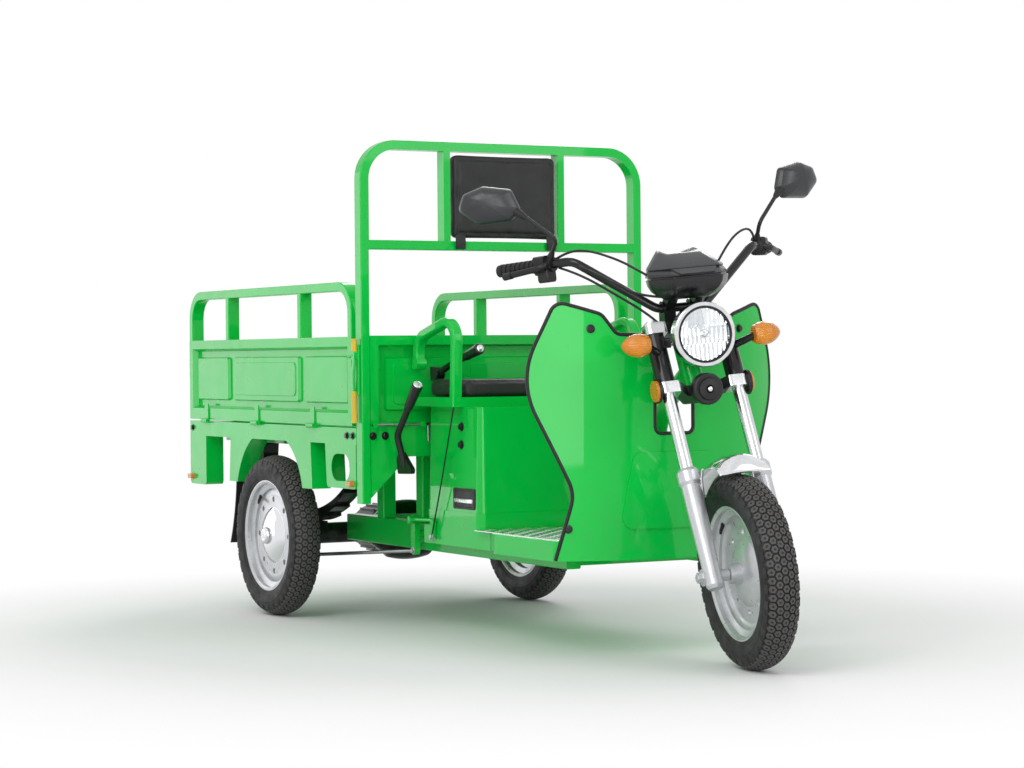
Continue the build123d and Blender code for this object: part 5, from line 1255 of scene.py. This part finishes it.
plate_low, plate_high = (np.array(corner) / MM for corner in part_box("floor_plate"))
plate_x = np.arange(plate_low[0] + BACK_ROOM, plate_high[0] - FRONT_ROOM, PITCH)
plate_y = np.arange(plate_low[1] + RIGHT_ROOM, plate_high[1] - LEFT_ROOM, PITCH)
px, py = np.meshgrid(plate_x, plate_y, indexing="ij")
spots = np.stack([px, py], -1).reshape(-1, 2)
from_axis = (spots[:, 0] - (SHIELD_X - SHIELD_R)) ** 2 + spots[:, 1] ** 2
clear = (from_axis < (SHIELD_R - SHIELD_ROOM) ** 2) & (np.abs(spots[:, 1]) > MIDDLE_ROOM)
spots = spots[clear]
quarter = np.round((spots - plate_low[:2]) / PITCH).sum(axis=1) % 2
heading = np.where(quarter > 0, np.pi / 4, -np.pi / 4)[:, None]
make_piece("tread_plate_lozenges", lozenges(spots, heading, plate_high[2]), alloy, "chassis",
           crisp=20)

# %% [markdown]
# ## Headlamp
# Behind a clear domed glass sits a bright reflector of upright flutes in three storeys, round the
# bulb, and a black gasket parts the glass from the chrome rim. Glass over a plain disc would look
# empty, so the dish is pressed into flutes: across each one its depth follows a parabola, and a
# mirror that bends so quickly shows light and dark side by side.

# %% Headlamp glass and reflector
LAMP, LAMP_WAY = np.array([FRONT_X - 140, 0, 785.0]), spun([1, 0, 0])
LENS_R, FLUTE, STOREY, BULB_ROOM = 68.0, 11.0, 21.0, 12
DISH_BASE, DISH_DEEP, FLUTE_DEEP = 0.6, 3.0, 2.0
GLASS_EDGE, GLASS_DOME, GLASS_THICK = 6, 11, 1.6
GASKET = [[5.0, 68.0], [9.2, 68.0], [10.4, 66.5], [10.4, 63.5], [9.0, 62.0], [5.0, 62.0]]
BULB = [[0.5, 0], [0.5, 9], [3, 9], [3.4, 7.5], [6, 7], [8.5, 4.5], [9.2, 0]]


def lamp_place(depth, y, z):
    """Depth in front of the bowl's face and offsets across it, turned with the steering."""
    return steered(LAMP + np.stack(np.broadcast_arrays(depth, y, z), -1))


def reflector_shape(rows=56, sides=144):
    """Depth BASE + DEEP (r/R)^2, plus FLUTE_DEEP (1 - (2f)^2) across each flute, f from -1/2 to 1/2
    of its width; the flutes of the middle storey are moved by half a width."""
    r = np.linspace(0.0, LENS_R - 1, rows)[:, None]
    a = round_turn(sides)[None]
    y, z = r * np.cos(a), r * np.sin(a)
    flute = (y / FLUTE + 0.5 * (np.abs(z) < STOREY)) % 1 - 0.5
    ridge = FLUTE_DEEP * (1 - (2 * flute) ** 2) * (r > BULB_ROOM)
    depth = DISH_BASE + DISH_DEEP * (r / LENS_R) ** 2 + ridge
    return lamp_place(depth, y, z), [grid_faces(rows, sides)]


def glass_shape(rows=14, sides=72):
    """Domed lens: an outer cap of depth EDGE + DOME (1 - (r/R)^2), and an inner cap behind it."""
    r = np.linspace(0, LENS_R, rows)
    outer = np.stack([GLASS_EDGE + GLASS_DOME * (1 - (r / LENS_R) ** 2), r], -1)
    inner = np.stack([outer[:, 0] - GLASS_THICK, r - 0.3 * (r > 0)], -1)[::-1]
    profile = np.concatenate([outer, inner])
    depth, reach = profile[:, :1], profile[:, 1:]
    a = round_turn(sides)[None]
    return lamp_place(depth, reach * np.cos(a), reach * np.sin(a)), [grid_faces(2 * rows, sides)]


glass = make_piece("headlamp_glass", glass_shape(), lamp_glass, "steering", crisp=60)
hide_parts("headlamp_lens")
make_piece("headlamp_reflector", reflector_shape(), mirror_silver, "steering", crisp=30)
gasket = lathe(GASKET, steered(LAMP), LAMP_WAY, sides=72, close=True)
make_piece("lamp_gasket", gasket, trim_rubber, "steering")
bulb = lathe(BULB, steered(LAMP), LAMP_WAY, sides=24)
make_piece("headlamp_bulb", bulb, chrome, "steering")

# %% [markdown]
# ## Mirrors
# A mirror head is a thin kite-shaped shell with soft corners that rises to a low ridge, with the
# glass let into its back. The shell is one outline repeated in rows: each row is drawn in a little,
# moved out and slid towards the ridge. A rubber boot covers both ends of its stem.

# %% Mirrors
BAR_TOP = np.array([REAR_X + 1512.2, 0, 794.0])
MIRROR_AT, MIRROR_CORNER = np.array([-167.0, 404.0, 342.0]), 15.0
MIRROR_ACROSS, MIRROR_NORMAL = np.array([-0.42, 0.907, 0]), np.array([0.9, 0.42, 0])
MIRROR_OUTLINE = np.array(
    [(-78, -18), (-52, -40), (30, -44), (78, -4), (62, 34), (12, 50), (-58, 36)], float)
RIDGE = np.array([6.0, 10.0])
SHELL_ROWS = (  # depth and share of the outline
    (-0.6, 0.90), (-3.0, 0.915), (-3.2, 0.96), (-1.0, 0.995), (4.0, 1.0), (10.0, 0.975),
    (17.0, 0.91), (24.0, 0.78), (29.5, 0.60), (33.0, 0.38), (34.5, 0.14))
GLASS_ROWS = ((-0.2, 0.885), (-1.2, 0.885), (-1.8, 0.86))
FOOT_BOOT = [[-8, 0], [-8, 12], [3, 12], [7, 9.5], [24, 6.4], [26, 5.2], [26, 0]]
HEAD_BOOT = [[0, 0], [0, 5.6], [4, 7], [22, 10.5], [34, 12], [34, 0]]
BOOTS = (  # profile, place and direction of the left stem's boots
    (FOOT_BOOT, np.array([-133.0, 273.5, 200.0]), np.array([49.0, -7.5, 46.0])),
    (HEAD_BOOT, np.array([-119.0, 328.0, 305.5]), np.array([-15.0, 25.0, 21.0])))


def soft_outline(corners, radius, steps=6):
    """A closed outline with round corners, begun in the middle of a side so no corner is cut."""
    middle = (corners[0] + corners[-1]) / 2
    ring = np.concatenate([middle[None], corners, middle[None]])
    return cut_outline(np.column_stack([ring, np.full(len(ring), radius)]), steps)[:-1]


def kite(s, rows):
    """Rows of the outline at (depth, share): share * outline + (1 - share) * ridge, moved out by
    depth."""
    across, normal = (unit(way * [1, s, 1]) for way in (MIRROR_ACROSS, MIRROR_NORMAL))
    upward = np.cross(normal, across)
    flat = soft_outline(MIRROR_OUTLINE * [1, s], MIRROR_CORNER)
    depth, share = (np.array(rows)[:, i, None, None] for i in (0, 1))
    drawn = share * flat + (1 - share) * RIDGE * [1, s]
    middle = BAR_TOP + MIRROR_AT * [1, s, 1]
    points = middle + drawn[..., :1] * across + drawn[..., 1:] * upward + depth * normal
    return steered_shape(skin(points))


def mirror_pair(rows):
    """The rows of the right mirror and of the left one."""
    return [kite(s, rows) for _, s in SIDES]


shells = make_piece("mirror_housings", mirror_pair(SHELL_ROWS), grey_plastic, "steering",
                    crisp=16)
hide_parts("mirror_shells")
make_piece("mirror_glass", mirror_pair(GLASS_ROWS), mirror_silver, "steering", crisp=20)
boots = [lathe(profile, steered(BAR_TOP + at * [1, s, 1]), spun(way * [1, s, 1]), sides=20)
         for _, s in SIDES for profile, at, way in BOOTS]
make_piece("mirror_boots", boots, trim_rubber, "steering")

# %% [markdown]
# ## Switch block
# Under the right perch hangs the block with the lamp and horn switches: a rounded bar with softer
# ends, and three round buttons on the side that faces the rider's thumb.

# %% Switch block
GRIP_WAY = unit([198.0, 125.0, 9.0])
PERCH = BAR_TOP + [-162.0, -291.7, 187.0]
BLOCK_DROP, BLOCK_AHEAD, KEYS_AHEAD = -26, 8, -10
KEY = [[0, 0], [0, 5], [3, 5], [4, 3.6], [4.2, 0]]


def perch_point(on_bar, ahead):
    """A point given along the bar from the perch and ahead of it, at the block's height."""
    return PERCH + on_bar * GRIP_WAY + np.array([ahead, 0, BLOCK_DROP])


block_path = np.array([perch_point(on_bar, BLOCK_AHEAD) for on_bar in (2, 4, 18, 32, 34)])
block = tapered_bar(block_path, box_section(36, 34, 7), (0.9, 1, 1, 1, 0.9))
keys = [lathe(KEY, perch_point(on_bar, KEYS_AHEAD), (-1.0, 0, 0), sides=16)
        for on_bar in (9, 18, 27)]
make_piece("switch_block", steered_shape(gather([block, *keys])), black_plastic, "steering")

# %% [markdown]
# ## Instrument pod
# The pod is a moulded case in two halves: a grey hood above and a black body below, parted by a
# groove. The case is six-sided in plan. Each row gives a level and that level's sizes, so the
# groove is simply two rows that step in and the brow over the panel two that step out. Two ears
# rise from the hood's back edge: a bell curve across, added to the height of the top rows.

# %% Instrument pod
POD_ROWS = np.array([  # level, back, front, half width, half width of the front edge
    (78, 44, 92, 56, 36), (80, 38, 99, 63, 41), (88, 24, 116, 78, 48), (100, 14, 134, 92, 56),
    (114, 8, 145, 100, 61), (126, 5, 149, 102, 62), (128, 4.5, 149.5, 102.5, 62),
    (129, 9, 144, 98, 59), (133, 9, 142, 98, 59), (134, 3, 145, 102.5, 63),
    (138, 2.5, 140, 101.5, 63), (150, 2, 119, 97, 65), (152, 2, 124, 97.5, 68),
    (156, 2, 120, 96, 67), (183, 6, 68, 64, 48), (187, 8, 62, 59, 45), (188, 14, 54, 50, 40),
    (187, 24, 44, 26, 20)], float)
EAR_RISE, EAR_AT, EAR_WIDE, EAR_FROM = 13.0, 46.0, 15.0, 176.0
EAR_END, EAR_FADE = 60, 45
PANEL = np.array([[120, -60, 150], [120, 60, 150], [143, 44, 136], [143, -44, 136]], float)
PANEL_ROWS, PANEL_OUT = ((-2, 1.0), (1.6, 1.0), (3.0, 0.94)), unit([14.0, 0, 23.0])
POD_WIDEST, POD_BACK, POD_CORNER = 0.55, 0.8, 9.0


def pod_case():
    """Six-sided rows with soft corners, one above the other; the ears add a bell curve in y to the
    top rows, fading towards the front."""
    level, back, front, half, nose = POD_ROWS.T
    middle = back + POD_WIDEST * (front - back)
    sides = [(back, -POD_BACK * half), (middle, -half), (front, -nose),
             (front, nose), (middle, half), (back, POD_BACK * half)]
    plan = np.stack([np.stack(corner, -1) for corner in sides], 1)
    rings = np.stack([soft_outline(corners, POD_CORNER, 5) for corners in plan])
    bell = np.exp(-(((np.abs(rings[..., 1]) - EAR_AT) / EAR_WIDE) ** 2))
    bell = bell * np.clip((EAR_END - rings[..., 0]) / EAR_FADE, 0, 1)
    height = level[:, None] + EAR_RISE * bell * (level[:, None] > EAR_FROM)
    return skin(BAR_TOP + np.concatenate([rings, height[..., None]], -1))


def pod_panel():
    """A trapezium on the sloping front, under the brow, raised by 3 mm with sloping edges."""
    middle = PANEL.mean(axis=0)
    rims = [middle + share * (PANEL - middle) + depth * PANEL_OUT for depth, share in PANEL_ROWS]
    return skin(BAR_TOP + np.stack(rims))


print("rows of the pod:", len(POD_ROWS))

# %% [markdown]
# ## Pod finish
# Both halves are moulded plastic, so one finish serves the whole case: the height of the parting
# chooses the grey of the hood or the black of the body.

# %% Pod finish
POD_PARTING, PARTING_SOFT = (BAR_TOP[2] + 131) * MM, 0.0005


def pod_finish(name):
    """Moulded plastic, grey above the parting and black below it, with a fine pebble grain."""
    material, shader = new_finish(name, (0.03, 0.032, 0.037), 0.3)
    place = place_of(material)
    below = spread(material, along(material, place, "Z"), 1, 0, POD_PARTING,
                   POD_PARTING + PARTING_SOFT)
    hood = blend_colours(material, mottle(material, place, 12, 3), (0.022, 0.024, 0.028),
                         (0.034, 0.037, 0.043))
    feed(material, shader, Base_Color=blend_colours(material, below, hood, (0.007, 0.007, 0.008)),
         Roughness=patches(material, place, 30, 4, 0.24, 0.36))
    raise_grain(material, shader, mottle(material, place, 1100, 2), 0.00005)
    return material


pod = make_piece("instrument_case", steered_shape(pod_case()), pod_finish("two_tone_pod"),
                 "steering", crisp=24)
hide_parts("instrument_pod")
make_piece("pod_panel", steered_shape(pod_panel()), grey_plastic, "steering",
           crisp=20)

# %% [markdown]
# ## Front mudguard
# A short chromed saddle arches over the wheel between the sliders. Across, it is a shallow arc with
# a flared edge; along, it follows the wheel, and its front edge is turned down into a lip. It is a
# grid over the angle round the wheel and the way across, thickened by a Solidify modifier.

# %% Front mudguard
GUARD_R, GUARD_CROWN, GUARD_HALF_W, GUARD_THICK = 248.0, 28.0, 63.0, 2.0
GUARD_BACK, GUARD_FRONT = np.radians(-52.0), np.radians(11.0)
LIP_IN, LIP_FROM, LIP_LONG, LIP_CURVE = 8.0, 0.9, 0.1, 1.5
BEAD_AT, BEAD_WIDE, BEAD_HIGH = 0.88, 0.016, 2.0
FLARE_FROM, FLARE_WIDE, FLARE_RISE, FLARE_OUT = 0.9, 0.1, 1.5, 1.2


def guard_shape(rows=64, columns=41):
    """Radius R + C (1 - v^2) plus a bead and a flare at the sides, blended into R - LIP_IN at the
    front lip, so that the crown ends in a straight edge."""
    t = np.linspace(0, 1, rows)[:, None]
    v = np.linspace(-1, 1, columns)[None]
    turn = GUARD_BACK + (GUARD_FRONT - GUARD_BACK) * t
    lip = np.clip((t - LIP_FROM) / LIP_LONG, 0, 1) ** LIP_CURVE
    bead = BEAD_HIGH * np.exp(-(((t - BEAD_AT) / BEAD_WIDE) ** 2))
    flare = np.clip((np.abs(v) - FLARE_FROM) / FLARE_WIDE, 0, 1)
    saddle = GUARD_R + GUARD_CROWN * (1 - v**2) + bead + FLARE_RISE * flare
    radius = saddle * (1 - lip) + (GUARD_R - LIP_IN) * lip
    across = GUARD_HALF_W * v + np.sign(v) * FLARE_OUT * flare**2
    offsets = np.broadcast_arrays(radius * np.sin(turn), across, radius * np.cos(turn))
    points = np.array([FRONT_X, 0, HUB_Z]) + np.stack(offsets, -1)
    return steered(points), [grid_faces(rows, columns, close_columns=False)]


guard = make_piece("chrome_mudguard", guard_shape(), chrome, "steering", crisp=40)
sheet = guard.modifiers.new("sheet", "SOLIDIFY")
sheet.thickness, sheet.offset = GUARD_THICK * MM, -1.0
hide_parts("front_fender")

# %% [markdown]
# ## Power switch
# Low on the right of the seat box sits a black oblong switch plate with a bright bar across it. The
# plate is a stack of rounded rectangles, each row a little smaller and further out.

# %% Power switch
SWITCH, BAR_DROP = np.array([REAR_X + 868, -258.4, 366.0]), -5
PLATE_ROWS = ((-4, 1.0), (2.0, 1.0), (3.4, 0.95), (3.4, 0.80), (1.6, 0.76))  # out by, share
BAR_ROWS = ((1.0, 1), (5.0, 1), (6.5, 0.9))


def stacked_plate(centre, width, height, corner, rows):
    """centre + share * outline + depth * out: rounded rectangles that face right, row by row."""
    outline = box_section(width, height, corner, 5)
    out, side = np.array([0.0, -1, 0]), np.array([1.0, 0, 0])
    flat = outline[:, :1] * side + outline[:, 1:] * np.cross(out, side)
    return skin(np.stack([centre + share * flat + depth * out for depth, share in rows]))


plate = stacked_plate(SWITCH, 122, 54, 5, PLATE_ROWS)
make_piece("switch_plate", plate, black_plastic, "chassis")
key_bar = stacked_plate(SWITCH + [0, 0, BAR_DROP], 104, 11, 3, BAR_ROWS)
make_piece("switch_bar", key_bar, alloy, "chassis")

# %% [markdown]
# ## Lever ends, horn cap and reflector backs
# Small bright or black discs finish the controls: an alloy button on each hand lever, a silver dot
# in the horn and a black dish behind each amber side reflector. All are lathe shapes.

# %% Discs
BRAKE_KNOB, BRAKE_WAY = np.array([REAR_X + 785, -350, 664.0]), unit([125.0, 0, 136])
GEAR_KNOB, GEAR_WAY = np.array([REAR_X + 880, -215, 757.0]), unit([176.0, 0, 45])
HORN_CAP = np.array([FRONT_X - 130.5, 0, 655.0])
REFLECTOR = np.array([FRONT_X - 178.6, 114.0, 659.6])
RIM_SHARE, FACE_SHARE = 0.7, 0.94
DISH = [[-5, 0], [-5, 22], [-2, 29], [4, 30], [4, 28], [-0.5, 27.5], [-0.5, 0]]


def disc(at, axis, radius, thick, dome):
    """A button: a flat back, a rim, and a face that rises by dome (1 - k^2), k = 1 at the rim."""
    k = np.linspace(0, 1, 7)[::-1]
    face = np.stack([thick + dome * (1 - k**2), radius * FACE_SHARE * k], -1)
    back = [[0, 0], [0, radius], [thick * RIM_SHARE, radius]]
    return lathe(np.concatenate([back, face]), at, axis, sides=32)


buttons = [disc(BRAKE_KNOB - BRAKE_WAY, BRAKE_WAY, 12.5, 3, 2),
           disc(GEAR_KNOB - GEAR_WAY, GEAR_WAY, 10, 3, 3)]
make_piece("lever_buttons", buttons, alloy, "chassis")
backs = [lathe(DISH, steered(REFLECTOR * [1, s, 1]), spun([0, s, 0]), sides=36) for _, s in SIDES]
make_piece("reflector_backs", backs, black_plastic, "steering")
horn_cap = disc(steered(HORN_CAP), LAMP_WAY, 6, 2.5, 1.5)
make_piece("horn_cap", horn_cap, chrome, "steering")

# %% [markdown]
# ## Rods
# Bent rods show on the bed and below it: the release rod along the front of the bed with its pull
# ring, and the green crank arm that the brake cable pulls. They are circles or flat sections
# carried along bent paths.

# %% Release rod and crank arm
ROD, ROD_Z = WALL_FACE + 10, 556
RING = [[ROD, -238, ROD_Z], [ROD, -224, ROD_Z], [ROD + 1, -220, 508], [ROD + 1, -246, 508],
        [ROD, -246, 552]]
CRANK = [[REAR_X + 556, -262, 297], [REAR_X + 600, -268, 299], [REAR_X + 712, -269, 303],
         [REAR_X + 706, -269, 256]]
CRANK_BOSS = [[-26, 0], [-26, 11], [8, 11], [10, 8], [10, 0]]
CRANK_ENDS = np.array([[REAR_X + 706, -273.5, 258], [REAR_X + 564, -258.0, 212]])

release = [drawn_bar([[ROD, y, ROD_Z] for y in (-411, -330, -236)], circle(4, 12)),
           drawn_bar(round_bends(RING, 8), circle(2.4, 10), over=(1, 0, 0))]
brackets = [drawn_bar([[WALL_FACE + ahead, y, ROD_Z] for ahead in (-2, 8, 15)],
                      box_section(14, 16, 4)) for y in (-404, -262)]
make_piece("release_rod", release, steel, "chassis")
make_piece("release_brackets", brackets, green_enamel, "chassis")

crank = [drawn_bar(round_bends(CRANK, 14), box_section(9, 13, 3), over=(0, 1, 0)),
         lathe(CRANK_BOSS, [REAR_X + 562, -262, 296], [0, -1.0, 0], sides=24)]
make_piece("brake_crank_arm", crank, green_enamel, "chassis")
pins = [bolt_heads(CRANK_ENDS, (0, -1, 0), 7.0),
        bolt_heads(CRANK_ENDS[:1] + [0, 9, 0], (0, 1, 0), 6.0)]
make_piece("crank_bolts", pins, steel, "chassis")

# %% [markdown]
# ## Stays and valves
# Two bent stays tie the mudguard to the fork, and each wheel has a rubber valve stem that leans out
# of its rim. The stay is a drawn bar; the stem is one too, with its section scaled along the path.

# %% Mudguard stays and tyre valves
STAY = ((-70, 60, 474), (-72, 65, 452), (-66, 65, 396), (-64, 84, 392))
VALVE_OUT, VALVE_R = np.array([14.0, 19, 25, 29]), np.array([139.0, 131, 122, 113])
VALVE_TURN, VALVE_TAPER = np.full(4, 0.9), (5.5, 4.6, 4.2, 3.0)


def guard_stay(s):
    """From the rolled edge of the mudguard down, then out to the slider; drawn straight ahead."""
    path = round_bends([[FRONT_X + ahead, s * out, z] for ahead, out, z in STAY], 11)
    return steered_shape(drawn_bar(path, circle(3.6, 10), over=(1, 0, 0)))


make_piece("mudguard_stays", [guard_stay(s) for _, s in SIDES], alloy, "steering")
for body, hub, axle, side in WHEELS:
    stem = wheel_points(side * VALVE_OUT, VALVE_TURN, VALVE_R, hub, axle)
    valve = tapered_bar(stem, circle(1.0, 12), VALVE_TAPER, over=axle)
    make_piece(body.replace("wheel", "valve"), valve, trim_rubber, body)

# %% [markdown]
# ## Cables
# Sheathed control cables run in easy curves from the handlebar to the pod and the lamp, and one
# thin brake cable runs taut from the seat down to the crank arm. Each is a NURBS line led by a few
# route points, with a round bevel, and the length of each is measured along its line and printed,
# because a cable has a length of its own.

# %% Cables
CABLE_ROUTES = {  # measured from BAR_TOP, straight ahead
    "brake_cable_right": [(-118, -262, 200), (-88, -244, 214), (-40, -210, 216), (10, -150, 186),
                          (40, -105, 152), (56, -88, 136)],
    "throttle_cable": [(-112, -258, 178), (-62, -226, 160), (-8, -150, 98), (18, -92, 52),
                       (40, -58, 12), (66, -26, -6)],
    "lamp_loom": [(-104, -262, 190), (-48, -232, 182), (4, -165, 132), (38, -108, 92),
                  (62, -58, 86)],
    "brake_cable_left": [(-118, 262, 200), (-84, 246, 226), (-22, 196, 236), (24, 132, 204),
                         (50, 86, 150)],
}
PARKING_ROUTE = [(REAR_X + 850, -279, 606), (REAR_X + 806, -277, 496), (REAR_X + 754, -274, 372),
                 (REAR_X + 706, -274, 258)]
CURVE_ORDER, CURVE_STEPS, BEVEL_STEPS = 3, 16, 3


def cable(name, route, diameter, body, finish):
    """A smooth NURBS line with the route's points as its control points, and a round section."""
    curve = bpy.data.curves.new(name, "CURVE")
    curve.dimensions = "3D"
    spline = curve.splines.new("NURBS")
    spline.points.add(len(route) - 1)
    places = np.concatenate([np.asarray(route, float) * MM, np.ones((len(route), 1))], axis=1)
    spline.points.foreach_set("co", places.ravel())
    spline.order_u, spline.use_endpoint_u, spline.resolution_u = CURVE_ORDER, True, CURVE_STEPS
    piece = in_scene(name, curve)
    length = run_lengths(corners_of(bpy.data.meshes.new_from_object(piece)).astype(float))[-1]
    curve.bevel_depth, curve.bevel_resolution = diameter * MM / 2, BEVEL_STEPS
    curve.use_fill_caps = True
    curve.materials.append(finish)
    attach(piece, body)
    print(name, "length in mm:", round(length / MM))


for name, route in CABLE_ROUTES.items():
    cable(name, steered(BAR_TOP + np.array(route, float)), 6.0, "steering",
          trim_rubber)
cable("parking_cable", PARKING_ROUTE, 4.0, "chassis", trim_rubber)
